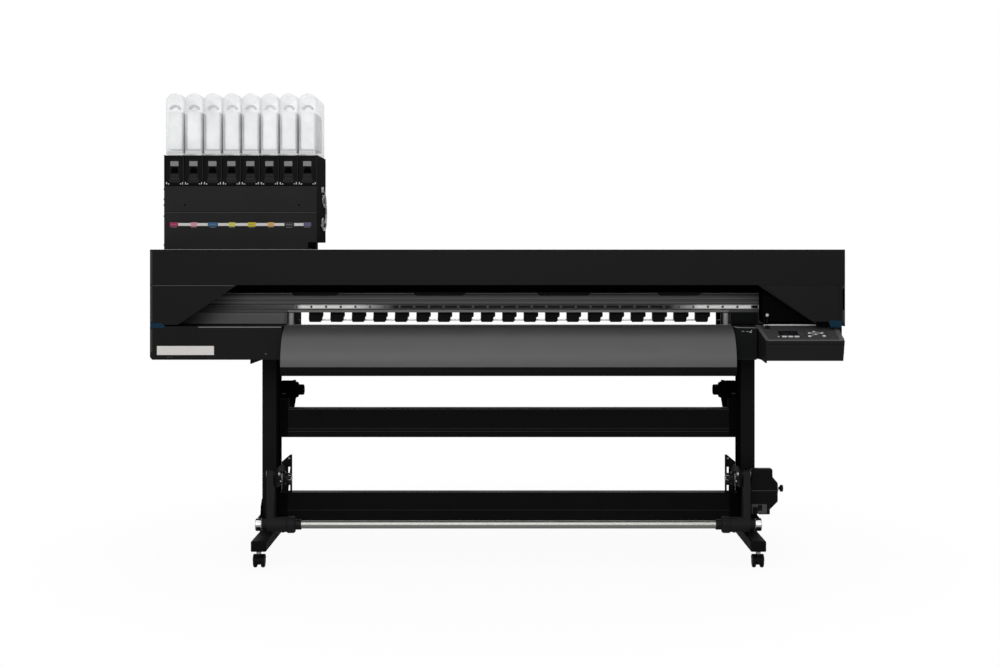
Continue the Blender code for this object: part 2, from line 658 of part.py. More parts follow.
def make_rail_beam(looks):
    front, rear = BAR_FRONT, BAR_REAR
    outline = [
        (front, BAR_BOTTOM - BAR_LIP), (BAR_CHANNEL[0], BAR_BOTTOM - BAR_LIP),
        (BAR_CHANNEL[0], BAR_CHANNEL_TOP), (BAR_CHANNEL[1], BAR_CHANNEL_TOP), (BAR_CHANNEL[1], BAR_BOTTOM),
        (rear, BAR_BOTTOM), (rear, BAR_TOP), (front + 0.010, BAR_TOP), (front, BAR_TOP - 0.010),
    ]
    bar = solid("y_bar", prism_mesh(outline, "X", BAR_X), looks["bar"])
    hollow = ((front + BAR_WALL, rear - BAR_WALL), (BAR_CHANNEL_TOP + 0.008, BAR_TOP - 0.008))
    cut(bar, block_mesh((BAR_X[0] - 0.01, BAR_X[1] + 0.01), *hollow))
    skirt_y = (front + 0.006, front + 0.006 + SKIRT_WALL)
    skirt_z = (PLATEN_TOP + 0.010, BAR_BOTTOM)
    join(bar, block_mesh((BAR_X[0], PLATEN_X[0]), skirt_y, skirt_z))
    join(bar, block_mesh((PLATEN_X[1], BAR_X[1]), skirt_y, skirt_z))
    rail_y = (front - FIT - RAIL_DEPTH, front - FIT)
    middle = sum(RAIL_Z) / 2
    profile = [
        (rail_y[1], RAIL_Z[0]), (rail_y[1], RAIL_Z[1]), (rail_y[1] - 0.003, RAIL_Z[1]),
        (rail_y[1] - 0.004, middle + 0.006), (rail_y[0], RAIL_Z[1]), (rail_y[0], RAIL_Z[0]),
        (rail_y[1] - 0.004, middle - 0.006), (rail_y[1] - 0.003, RAIL_Z[0]),
    ]
    solid("linear_rail", prism_mesh(profile, "X", BAR_X), looks["steel"])


def make_carriage(looks):
    right = BODY_HALF - CARRIAGE_PARK
    left = right - CARRIAGE_WIDTH
    back = BAR_FRONT - RAIL_DEPTH - 2 * FIT
    low, high = CARRIAGE_Z
    outline = [
        (back, low), (back, high - 0.004), (CARRIAGE_FRONT + 0.030, high), (CARRIAGE_FRONT, high - 0.030),
        (CARRIAGE_FRONT, low),
    ]
    slide = assembly("carriage_guide", (right, back, RAIL_Z[0]))
    carriage = solid("carriage", prism_mesh(outline, "X", (left, right)), looks["black"],
                     (right, back, RAIL_Z[0]), slide)
    soften(carriage, 0.004)
    shoe_z = (RAIL_Z[1] + FIT, RAIL_Z[1] + 0.010)
    shoe_x = (left + 0.040, right - 0.040)
    join(carriage, block_mesh(shoe_x, (back - 0.006, BAR_FRONT - FIT), shoe_z))
    heads_x = (left + 0.050, right - 0.050)
    heads_y = (CARRIAGE_FRONT + 0.020, back - 0.020)
    join(carriage, block_mesh(heads_x, heads_y, (low - 0.003, low + 0.010)))
    cap = solid("capping_station",
                block_mesh((heads_x[0] - 0.010, heads_x[1] + 0.010), (heads_y[0] - 0.008, heads_y[1] + 0.008),
                           CAP_Z),
                looks["black"])
    cup_x = (heads_x[0], heads_x[1])
    cut(cap, block_mesh(cup_x, heads_y, (CAP_Z[1] - 0.006, CAP_Z[1] + 0.010)))


def make_pinch(looks):
    """The bar with its roller arms, raised by the clamp lever."""
    lift = assembly("pinch_lift", (CENTRE_X, ROLLER_Y, PINCH_Z))
    length = (PINCH_COUNT - 1) * PINCH_PITCH + PINCH_ARM_WIDTH
    span = (CENTRE_X - length / 2, CENTRE_X + length / 2)
    depth, height = PINCH_BAR
    bar_z = (BAR_CHANNEL_TOP - FIT - height, BAR_CHANNEL_TOP - FIT)
    bar = solid("pinch_bar", block_mesh(span, (ROLLER_Y - depth / 2, ROLLER_Y + depth / 2), bar_z),
                looks["black"], (CENTRE_X, ROLLER_Y, PINCH_Z), lift)
    first = span[0]
    half = PINCH_ARM_DEPTH / 2
    slot = PINCH_SHAFT + RUNNING
    roof = PINCH_Z + PINCH_RADIUS + 0.0015
    body = prism_mesh([(ROLLER_Y - half, roof), (ROLLER_Y + half, roof), (ROLLER_Y + half, bar_z[0] + 0.004),
                       (ROLLER_Y - half, bar_z[0] + 0.004)], "X", (first, first + PINCH_ARM_WIDTH))
    repeat(join(bar, body), PINCH_COUNT, (PINCH_PITCH, 0, 0))
    foot = PINCH_Z - 0.004
    ear = [
        (ROLLER_Y - half - 0.003, foot), (ROLLER_Y - slot, foot), (ROLLER_Y - slot, PINCH_Z + slot),
        (ROLLER_Y + slot, PINCH_Z + slot), (ROLLER_Y + slot, foot), (ROLLER_Y + half + 0.003, foot),
        (ROLLER_Y + half, roof + 0.003), (ROLLER_Y - half, roof + 0.003),
    ]
    for offset in (0, PINCH_ARM_WIDTH - PINCH_EAR):
        piece = prism_mesh(ear, "X", (first + offset, first + offset + PINCH_EAR))
        repeat(join(bar, piece), PINCH_COUNT, (PINCH_PITCH, 0, 0))
    make_pinch_rollers(first, lift, looks)


def make_pinch_rollers(first, lift, looks):
    profile = [(first, 0), (first, PINCH_SHAFT)]
    for k in range(PINCH_COUNT):
        start = first + k * PINCH_PITCH + PINCH_EAR + FIT
        end = start + PINCH_ARM_WIDTH - 2 * PINCH_EAR - 2 * FIT
        profile += [(start, PINCH_SHAFT), (start, PINCH_RADIUS), (end, PINCH_RADIUS), (end, PINCH_SHAFT)]
    last = first + (PINCH_COUNT - 1) * PINCH_PITCH + PINCH_ARM_WIDTH
    profile += [(last, PINCH_SHAFT), (last, 0)]
    axis = (ROLLER_Y, PINCH_Z)
    rollers = solid("pinch_rollers", turned_mesh(profile, axis, 12), looks["tyre"], (CENTRE_X, *axis), lift)
    smooth(rollers)


# Covers

def make_hood(looks):
    hinge = assembly("hood_hinge", (0, HOOD_REAR, BODY_TOP))
    wall = COVER_WALL
    half = BODY_HALF
    outline = [
        (HOOD_REAR, BODY_TOP), (HOOD_REAR, BODY_TOP - wall), (BODY_FRONT + wall, BODY_TOP - wall),
        (BODY_FRONT + wall, HOOD_BOTTOM), (BODY_FRONT, HOOD_BOTTOM), (BODY_FRONT, BODY_TOP - 0.003),
        (BODY_FRONT + 0.003, BODY_TOP),
    ]
    hood = solid("hood", prism_mesh(outline, "X", (-half, half)), looks["body"],
                 (0, HOOD_REAR, BODY_TOP), hinge)
    for x in ((-half, -half + wall), (half - wall, half)):
        join(hood, block_mesh(x, (BODY_FRONT + 0.001, HOOD_REAR), (HOOD_BOTTOM, BODY_TOP - 0.001)))


def make_rear_cover(looks):
    wall = COVER_WALL
    front = HOOD_REAR + SEAM
    outline = [
        (front, BODY_TOP), (BODY_REAR - 0.010, BODY_TOP), (BODY_REAR, BODY_TOP - 0.010),
        (BODY_REAR, REAR_COVER_BOTTOM), (BODY_REAR - wall, REAR_COVER_BOTTOM),
        (BODY_REAR - wall, BODY_TOP - wall), (front, BODY_TOP - wall),
    ]
    half = BODY_HALF - wall - FIT
    cover = solid("rear_cover", prism_mesh(outline, "X", (-half, half)), looks["body"])
    skirt_y = (BODY_REAR - wall + 0.0005, BODY_REAR - 0.0005)
    for x in ((-half + 0.001, PLATEN_X[0]), (PLATEN_X[1], half - 0.001)):
        join(cover, block_mesh(x, skirt_y, (CASE_TOP + FIT, REAR_COVER_BOTTOM + 0.010)))


def make_side_covers(looks):
    """Each has a front panel with a slanted inner edge, and a side wall that runs to the rear."""
    wall = COVER_WALL
    low = CASE_TOP + ACCENT_GAP
    sill = CASE_TOP + FIT
    high = HOOD_BOTTOM - FIT
    foot = DIAGONAL_TOP - DIAGONAL_RUN
    for label, side in (("left", -1), ("right", 1)):
        rise = low + DIAGONAL_FOOT
        x = [BODY_HALF, BODY_HALF - DIAGONAL_TOP, BODY_HALF - foot, BODY_HALF - foot + 0.012, BODY_HALF]
        z = [high, high, rise, low, low]
        panel = [(side * a, b) for a, b in zip(x, z)]
        cover = solid(label + "_side_cover", prism_mesh(panel, "Y", (BODY_FRONT, BODY_FRONT + wall)),
                      looks["body"])
        skin = sorted((side * BODY_HALF, side * (BODY_HALF - wall)))
        outline = [
            (BODY_FRONT + 0.001, sill), (BODY_REAR, sill), (BODY_REAR, BODY_TOP - 0.010),
            (BODY_REAR - 0.010, BODY_TOP), (HOOD_REAR + SEAM, BODY_TOP), (HOOD_REAR + SEAM, high),
            (BODY_FRONT + 0.001, high),
        ]
        join(cover, prism_mesh(outline, "X", skin))


def make_cases(looks):
    """The lower cases: front, side and rear walls with a top plate ahead of the rail beam."""
    left = wall_loop([
        (LEFT_CASE_END, BODY_FRONT), (-BODY_HALF, BODY_FRONT), (-BODY_HALF, BODY_REAR),
        (LEFT_CASE_END, BODY_REAR),
    ])
    step = BOX_LEFT - BOX_SKEW - FIT
    right = wall_loop([
        (RIGHT_CASE_END, BODY_REAR), (BODY_HALF, BODY_REAR), (BODY_HALF, BOX_REAR + FIT),
        (step, BOX_REAR + FIT), (step, BODY_FRONT), (RIGHT_CASE_END, BODY_FRONT),
    ])
    z = (BODY_BOTTOM, CASE_TOP)
    case = solid("left_case", prism_mesh(left, "Z", z), looks["body"])
    top_z = (CASE_TOP - COVER_WALL, CASE_TOP - 0.0001)
    top_y = (BODY_FRONT + 0.001, UPRIGHT_Y[0] - 0.010)
    join(case, block_mesh((-BODY_HALF + 0.001, LEFT_CASE_END), top_y, top_z))
    bevel = [(-BODY_HALF - 0.01, BODY_BOTTOM - 0.01), (-BODY_HALF - 0.01, BODY_BOTTOM + 0.022),
             (-BODY_HALF + 0.018, BODY_BOTTOM - 0.01)]
    cut(case, prism_mesh(bevel, "Y", (BODY_FRONT - 0.01, BODY_REAR + 0.01)))
    case = solid("right_case", prism_mesh(right, "Z", z), looks["body"])
    join(case, block_mesh((RIGHT_CASE_END, step - 0.001), (BODY_FRONT + 0.001, top_y[1]), top_z))
    join(case, block_mesh((step - 0.005, BODY_HALF - 0.001), (BOX_REAR + FIT + 0.001, top_y[1]), top_z))


def wall_loop(path):
    """A constant-thickness strip outline that follows right-angled path points, inside on the left."""
    wall = COVER_WALL
    inner = []
    for k, (x, y) in enumerate(path):
        before = path[max(k - 1, 0)]
        after = path[min(k + 1, len(path) - 1)]
        normal = Vector((0, 0))
        for a, b in ((before, (x, y)), ((x, y), after)):
            step = Vector(b) - Vector(a)
            if step.length > 0:
                turned = Vector((step.y, -step.x)).normalized()
                normal += turned if normal.dot(turned) < 0.5 else Vector((0, 0))
        inner.append((x + normal.x * wall, y + normal.y * wall))
    centre = Vector((sum(p[0] for p in path), sum(p[1] for p in path))) / len(path)
    probe = Vector(inner[0]) - Vector(path[0])
    if probe.dot(centre - Vector(path[0])) < 0:
        inner = [(2 * p[0] - q[0], 2 * p[1] - q[1]) for p, q in zip(path, inner)]
    return path + inner[::-1]


def make_apron(looks):
    """A sheet that falls in a quarter round from the platen, with its hem turned in."""
    span = (CENTRE_X - APRON_WIDTH / 2, CENTRE_X + APRON_WIDTH / 2)
    wall = APRON_WALL
    centre = (APRON_BACK - 0.010, APRON_TOP - APRON_RADIUS)
    outer = [(APRON_BACK, APRON_TOP)] + arc(centre, APRON_RADIUS, 90, 180, 12)
    inner = [(APRON_BACK, APRON_TOP - wall)] + arc(centre, APRON_RADIUS - wall, 90, 180, 12)
    front = centre[0] - APRON_RADIUS
    outer += [(front, APRON_HEM_TOP), (front + APRON_HEM_TURN, APRON_BOTTOM)]
    inner += [(front + wall, APRON_HEM_TOP + 0.0006), (front + APRON_HEM_TURN + wall, APRON_BOTTOM + 0.0006)]
    apron = solid("apron", prism_mesh(outer + inner[::-1], "X", span), looks["apron"])
    lug_z = (APRON_TOP - wall - 0.014, APRON_TOP - wall / 2)
    join(apron, block_mesh((span[0] + 0.05, span[1] - 0.05), (APRON_BACK - 0.010, PLATEN_FRONT - FIT), lug_z))
    return smooth(apron)


# Control box

def panel_point(x, along, lift=0.0):
    """A point on the sloping panel: along runs from its front edge to its rear one."""
    run, rise = BOX_REAR - BOX_FRONT, BOX_REAR_TOP - BOX_FRONT_TOP
    length = math.hypot(run, rise)
    return (
        x,
        BOX_FRONT + (run * along - rise * lift) / length,
        BOX_FRONT_TOP + (rise * along + run * lift) / length,
    )


def panel_block(x, along, lift):
    return hull_mesh([panel_point(a, b, c) for a in x for b in along for c in lift])


def make_control_box(looks):
    left, right = BOX_LEFT, BOX_RIGHT
    rear = left - BOX_SKEW
    points = [
        (left, BOX_FRONT, BOX_BOTTOM), (left, BOX_FRONT, BOX_FRONT_TOP), (right, BOX_FRONT, BOX_FRONT_TOP),
        (right - 0.006, BOX_FRONT, BOX_BOTTOM), (rear, BOX_REAR, BOX_BOTTOM), (rear, BOX_REAR, BOX_REAR_TOP),
        (right, BOX_REAR, BOX_REAR_TOP), (right - 0.006, BOX_REAR, BOX_BOTTOM),
    ]
    box = solid("control_box", hull_mesh(points), looks["panel"])
    places = (
        ("display", DISPLAY_X, DISPLAY_ALONG, (FIT - PANEL_POCKET, -DISPLAY_SUNK), looks["screen"]),
        ("function_keys", KEYS_X, KEYS_ALONG, (KEY_TRAVEL_GAP - PANEL_POCKET, KEY_PROUD), looks["black"]),
        ("jog_pad", PAD_X, PAD_ALONG, (KEY_TRAVEL_GAP - PANEL_POCKET, KEY_PROUD), looks["black"]),
    )
    for name, across, along, lift, look in places:
        x = (left + across[0], left + across[1])
        cut(box, panel_block(x, along, (-PANEL_POCKET, PANEL_POCKET)))
        face = panel_block((x[0] + FIT, x[1] - FIT), (along[0] + FIT, along[1] - FIT), lift)
        origin = panel_point(sum(x) / 2, sum(along) / 2) if name != "display" else (0, 0, 0)
        solid(name, face, look, origin)


def make_clamp_lever(looks):
    """A small two-ball lever on the rear edge of the control box."""
    x = BOX_LEFT + LEVER_INSET
    barrel = 0.005
    slope = (BOX_REAR_TOP - BOX_FRONT_TOP) / (BOX_REAR - BOX_FRONT)
    surface = BOX_FRONT_TOP + (LEVER_Y - BOX_FRONT) * slope
    pivot = (LEVER_Y, surface + barrel * math.hypot(1, slope) + FIT)
    lever = solid("clamp_lever", rod_mesh((x - 0.010, x + 0.010), barrel, pivot, 16), looks["steel"],
                  (x, *pivot))
    join(lever, upright_rod_mesh((pivot[1], pivot[1] + LEVER_RISE - 0.004), 0.0025, (x, LEVER_Y), 10))
    top = pivot[1] + LEVER_RISE
    steps = 6
    ball = [(x + LEVER_BALL * -math.cos(math.pi * k / steps), LEVER_BALL * math.sin(math.pi * k / steps))
            for k in range(steps + 1)]
    ball = [(ball[0][0], 0)] + ball[1:-1] + [(ball[-1][0], 0)]
    join(lever, turned_mesh(ball, (LEVER_Y, top), 12))
    middle = pivot[1] + LEVER_RISE * 0.55
    join(lever, turned_mesh([(p, r * 0.7) for p, r in ball], (LEVER_Y, middle), 12))


# Ink unit

def make_ink_unit(looks):
    front = INK_FRONT
    rear = INK_FRONT + INK_DEPTH
    low = BODY_TOP + FIT
    cabinet = solid("ink_cabinet", block_mesh(INK_X, (front, rear), (low, INK_CABINET_TOP)), looks["body"])
    wall = INK_WALL
    notch_x, notch_z = INK_X[1] - INK_NOTCH[0], low + INK_NOTCH[2]
    notch_y = front + INK_NOTCH[1]
    inside, bay_y = INK_X[0] + wall, (front + wall, rear - wall)
    cut(cabinet, block_mesh((inside, INK_X[1] - wall), bay_y, (notch_z + wall, INK_CABINET_TOP - wall)))
    cut(cabinet, block_mesh((inside, notch_x - wall), bay_y, (low - 0.01, notch_z + 2 * wall)))
    cut(cabinet, block_mesh((notch_x, INK_X[1] + 0.01), (notch_y, rear + 0.01), (low - 0.01, notch_z)))
    floor = (INK_CABINET_TOP + FIT, INK_CABINET_TOP + FIT + INK_FLOOR)
    tray = solid("ink_tray", block_mesh(INK_X, (front, rear), floor), looks["body"])
    divider_z = (floor[1] - 0.002, INK_TRAY_TOP)
    divider = block_mesh((INK_X[0], INK_X[0] + BAY_WALL), (front, rear), divider_z)
    repeat(join(tray, divider), BAY_COUNT + 1, (BAY_PITCH, 0, 0))
    join(tray, block_mesh((INK_X[0] + 0.001, INK_X[1] - 0.001), (rear - 0.008, rear - 0.001),
                          (floor[1] - 0.001, INK_TRAY_TOP - 0.001)))
    for k in range(BAY_COUNT):
        make_ink_pack(k, floor[1], looks)


def make_ink_pack(k, floor, looks):
    left = INK_X[0] + k * BAY_PITCH + BAY_WALL + FIT
    right = left + BAY_PITCH - BAY_WALL - 2 * FIT
    middle, radius = (left + right) / 2, (right - left) / 2
    low = floor + FIT
    dome = arc((middle, INK_PACK_TOP - radius), radius, 0, 180, 10)
    outline = [(left, low), (right, low)] + dome
    rear = INK_FRONT + INK_DEPTH - 0.008 - FIT
    origin = (middle, INK_FRONT, low)
    pack = solid(f"ink_pack_{k + 1}", prism_mesh(outline, "Y", (rear - INK_PACK_DEPTH, rear)),
                 looks["cover"], origin)
    return smooth(pack)


def main():
    clear_scene()
    looks = {
        "body": material("body_black", (0.014, 0.014, 0.015), 0.45),
        "stand": material("stand_black", (0.006, 0.006, 0.007), 0.5),
        "black": material("black_plastic", (0.008, 0.008, 0.009), 0.4),
        "dark_metal": material("dark_metal", (0.02, 0.02, 0.02), 0.5, 0.6),
        "bar": material("grey_metal", (0.07, 0.07, 0.075), 0.4, 0.5),
        "apron": material("apron_grey", (0.12, 0.12, 0.125), 0.42, 0.3),
        "steel": material("bright_steel", (0.6, 0.6, 0.6), 0.25, 1.0),
        "tyre": material("black_rubber", (0.01, 0.01, 0.01), 0.7),
        "panel": material("panel_black", (0.03, 0.03, 0.032), 0.4),
        "screen": material("screen_dark", (0.01, 0.01, 0.012), 0.15),
        "cover": material("clear_cover", (0.85, 0.86, 0.87), 0.3),
    }
    make_stand(looks)
    make_casters(looks)
    make_take_up(looks)
    make_dancer(looks)
    make_roll_holders(looks)
    make_chassis(looks)
    make_media_path(looks)
    make_rail_beam(looks)
    make_carriage(looks)
    make_pinch(looks)
    make_hood(looks)
    make_rear_cover(looks)
    make_side_covers(looks)
    make_cases(looks)
    make_apron(looks)
    make_control_box(looks)
    make_clamp_lever(looks)
    make_ink_unit(looks)


main()
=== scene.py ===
"""Looks of the wide-format roll printer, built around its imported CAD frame. Metres, +Z up, front -Y."""
import json
import math

import bmesh
import bpy
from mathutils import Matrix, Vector

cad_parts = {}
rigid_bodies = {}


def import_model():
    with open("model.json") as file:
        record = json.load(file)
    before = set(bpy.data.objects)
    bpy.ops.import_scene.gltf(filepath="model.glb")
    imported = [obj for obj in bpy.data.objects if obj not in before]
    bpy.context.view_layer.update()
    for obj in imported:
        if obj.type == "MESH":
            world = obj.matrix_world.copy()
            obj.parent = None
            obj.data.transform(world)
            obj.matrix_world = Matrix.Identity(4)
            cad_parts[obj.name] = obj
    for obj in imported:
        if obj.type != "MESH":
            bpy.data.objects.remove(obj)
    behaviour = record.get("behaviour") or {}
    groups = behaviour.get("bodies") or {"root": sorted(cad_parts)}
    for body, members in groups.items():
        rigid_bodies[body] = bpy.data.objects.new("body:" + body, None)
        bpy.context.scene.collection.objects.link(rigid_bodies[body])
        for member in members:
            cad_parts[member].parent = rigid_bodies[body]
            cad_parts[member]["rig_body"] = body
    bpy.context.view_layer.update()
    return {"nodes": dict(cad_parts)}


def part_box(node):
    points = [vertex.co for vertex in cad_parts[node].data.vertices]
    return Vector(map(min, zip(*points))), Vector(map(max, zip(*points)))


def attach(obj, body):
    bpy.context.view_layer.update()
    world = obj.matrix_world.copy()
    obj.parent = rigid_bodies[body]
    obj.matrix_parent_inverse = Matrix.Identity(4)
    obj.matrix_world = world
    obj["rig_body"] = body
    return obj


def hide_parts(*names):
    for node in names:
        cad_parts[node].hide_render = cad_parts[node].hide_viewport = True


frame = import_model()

ROOT = "printer"        # the fixed body


def low(node):
    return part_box(node)[0]


def high(node):
    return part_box(node)[1]


# The frame's own places
STAND_X = (low("lower_beam").x + high("lower_beam").x) / 2
BODY_X = high("hood").x
BODY_TOP = high("hood").z
BODY_FRONT = low("hood").y
BODY_REAR = high("rear_cover").y
HOOD_BOTTOM = low("hood").z
BODY_BOTTOM = low("left_case").z
CASE_TOP = high("left_case").z
BAR_FACE = -0.196       # the rail beam's front
RAIL_FACE = low("linear_rail").y
LEG_FRONT = low("left_leg").y
INK_LOW, INK_HIGH = low("ink_cabinet"), high("ink_cabinet")
TRAY_TOP = high("ink_tray").z

# The control box's sloping panel
BOX_LOW, BOX_HIGH = low("control_box"), high("control_box")
BOX_LEFT = low("function_keys").x - 0.0623
EDGE_Z = 0.904          # top of the box's front edge
PANEL_RUN = 0.15        # front to back
TURN = math.atan((BOX_HIGH.z - EDGE_Z) / PANEL_RUN)
SLOPE_LENGTH = math.hypot(PANEL_RUN, BOX_HIGH.z - EDGE_Z)

# The stand's axes along X, each as its Y and Z
TAKE_UP_AXIS = (-0.24, 0.336)
DANCER_PIVOT = (-0.34, 0.366)
TUBE_AXIS = (-0.34, 0.164)
ROLL_AXIS = (0.23, 0.654)

# Distance from the stand's middle and radius, on the arm's own hub and then on its collar
COLLAR = (
    ((0.882, 0.030), (0.886, 0.030)),
    ((0.882, 0.024), (0.884, 0.032)),
    ((0.868, 0.024), (0.868, 0.0335)),
    ((0.846, 0.036), (0.853, 0.031)),
    ((0.840, 0.036), (0.851, 0.0195)),
    ((0.840, 0.016), (0.851, 0.017)),
)


# Materials

def new_material(name):
    made = bpy.data.materials.new(name)
    made.use_nodes = True
    nodes = made.node_tree.nodes
    return made, nodes, made.node_tree.links, nodes["Principled BSDF"]


def noise(nodes, links, scale, detail, stretch=None, roughness=0.5):
    """A noise texture on the object's own coordinates, in cycles per metre."""
    place = nodes.new("ShaderNodeTexCoord")
    texture = nodes.new("ShaderNodeTexNoise")
    texture.inputs["Scale"].default_value = scale
    texture.inputs["Detail"].default_value = detail
    texture.inputs["Roughness"].default_value = roughness
    if stretch:
        mapping = nodes.new("ShaderNodeMapping")
        mapping.inputs["Scale"].default_value = stretch
        links.new(place.outputs["Object"], mapping.inputs["Vector"])
        links.new(mapping.outputs["Vector"], texture.inputs["Vector"])
    else:
        links.new(place.outputs["Object"], texture.inputs["Vector"])
    return texture


def varied(nodes, links, shader, socket, source, low_value, high_value):
    """Lets a noise vary one of the shader's plain values between two."""
    ramp = nodes.new("ShaderNodeMapRange")
    for end, value in (("From Min", 0.35), ("From Max", 0.65), ("To Min", low_value),
                       ("To Max", high_value)):
        ramp.inputs[end].default_value = value
    links.new(source.outputs["Fac"], ramp.inputs["Value"])
    links.new(ramp.outputs["Result"], shader.inputs[socket])


def coloured(nodes, links, shader, source, colour, spread):
    """Lets a noise vary the base colour, from a share darker to a share lighter."""
    ramp = nodes.new("ShaderNodeValToRGB")
    for element, place, share in zip(ramp.color_ramp.elements, (0.3, 0.7), (1 - spread, 1 + spread)):
        element.position = place
        element.color = (*[min(1.0, c * share) for c in colour], 1.0)
    links.new(source.outputs["Fac"], ramp.inputs["Fac"])
    links.new(ramp.outputs["Color"], shader.inputs["Base Color"])


def bumped(nodes, links, shader, source, strength, distance):
    bump = nodes.new("ShaderNodeBump")
    bump.inputs["Strength"].default_value = strength
    bump.inputs["Distance"].default_value = distance
    links.new(source.outputs["Fac"], bump.inputs["Height"])
    links.new(bump.outputs["Normal"], shader.inputs["Normal"])


def painted(name, colour, rough, spread, grain, specular, texture=0.25):
    """Powder-coated metal: an orange-peel grain, slightly cloudy in tone and in gloss."""
    made, nodes, links, shader = new_material(name)
    cloud = noise(nodes, links, 5.0, 4.0)
    coloured(nodes, links, shader, cloud, colour, spread)
    varied(nodes, links, shader, "Roughness", cloud, rough - 0.05, rough + 0.06)
    shader.inputs["Specular IOR Level"].default_value = specular
    bumped(nodes, links, shader, noise(nodes, links, grain, 2.0), texture, 0.0002)
    return made


def moulded(name, colour, rough, spread, grain, specular, texture=0.35):
    """Injection-moulded plastic: a fine spark-eroded grain."""
    made, nodes, links, shader = new_material(name)
    cloud = noise(nodes, links, 12.0, 3.0)
    fine = noise(nodes, links, grain, 4.0, roughness=0.7)
    coloured(nodes, links, shader, fine, colour, spread)
    varied(nodes, links, shader, "Roughness", cloud, rough - 0.06, rough + 0.06)
    shader.inputs["Specular IOR Level"].default_value = specular
    bumped(nodes, links, shader, fine, texture, 0.00015)
    return made


def brushed(name, colour, rough, stretch=(1.0, 60.0, 60.0)):
    """Metal with drawing or polishing lines along its length."""
    made, nodes, links, shader = new_material(name)
    lines = noise(nodes, links, 30.0, 5.0, stretch, 0.65)
    coloured(nodes, links, shader, lines, colour, 0.1)
    varied(nodes, links, shader, "Roughness", lines, rough - 0.08, rough + 0.1)
    shader.inputs["Metallic"].default_value = 1.0
    bumped(nodes, links, shader, lines, 0.1, 0.0001)
    return made


def frosted(name, colour, alpha, rough=0.35):
    """Frosted clear plastic: milky, with thicker haze in soft clouds."""
    made, nodes, links, shader = new_material(name)
    cloud = noise(nodes, links, 9.0, 3.0)
    coloured(nodes, links, shader, cloud, colour, 0.03)
    varied(nodes, links, shader, "Alpha", cloud, alpha - 0.06, alpha + 0.06)
    shader.inputs["Roughness"].default_value = rough
    bumped(nodes, links, shader, noise(nodes, links, 900.0, 2.0), 0.15, 0.0001)
    return made


def painted_light_along(made, axis, stops):
    """Painted light and shade along one axis: each stop is a place in metres and a share of the colour
    there.
    """
    nodes, links = made.node_tree.nodes, made.node_tree.links
    base = nodes["Principled BSDF"].inputs["Base Color"]
    source = base.links[0].from_socket
    place = nodes.new("ShaderNodeTexCoord")
    split = nodes.new("ShaderNodeSeparateXYZ")
    links.new(place.outputs["Object"], split.inputs["Vector"])
    start, end = stops[0][0], stops[-1][0]
    ranged = nodes.new("ShaderNodeMapRange")
    ranged.inputs["From Min"].default_value = start
    ranged.inputs["From Max"].default_value = end
    links.new(split.outputs[axis], ranged.inputs["Value"])
    ramp = nodes.new("ShaderNodeValToRGB")
    points = ramp.color_ramp.elements
    points[0].position, points[1].position = 0.0, 1.0
    points[0].color = (stops[0][1], stops[0][1], stops[0][1], 1.0)
    points[1].color = (stops[-1][1], stops[-1][1], stops[-1][1], 1.0)
    for at, share in stops[1:-1]:
        points.new((at - start) / (end - start)).color = (share, share, share, 1.0)
    links.new(ranged.outputs["Result"], ramp.inputs["Fac"])
    mix = nodes.new("ShaderNodeMix")
    mix.data_type = "RGBA"
    mix.blend_type = "MULTIPLY"
    mix.inputs["Factor"].default_value = 1.0
    links.new(source, mix.inputs["A"])
    links.new(ramp.outputs["Color"], mix.inputs["B"])
    links.new(mix.outputs["Result"], base)
    return made


def screen_glass(name):
    made, nodes, links, shader = new_material(name)
    coloured(nodes, links, shader, noise(nodes, links, 3000.0, 1.0), (0.006, 0.007, 0.009), 0.2)
    shader.inputs["Roughness"].default_value = 0.12
    shader.inputs["Specular IOR Level"].default_value = 0.35
    return made


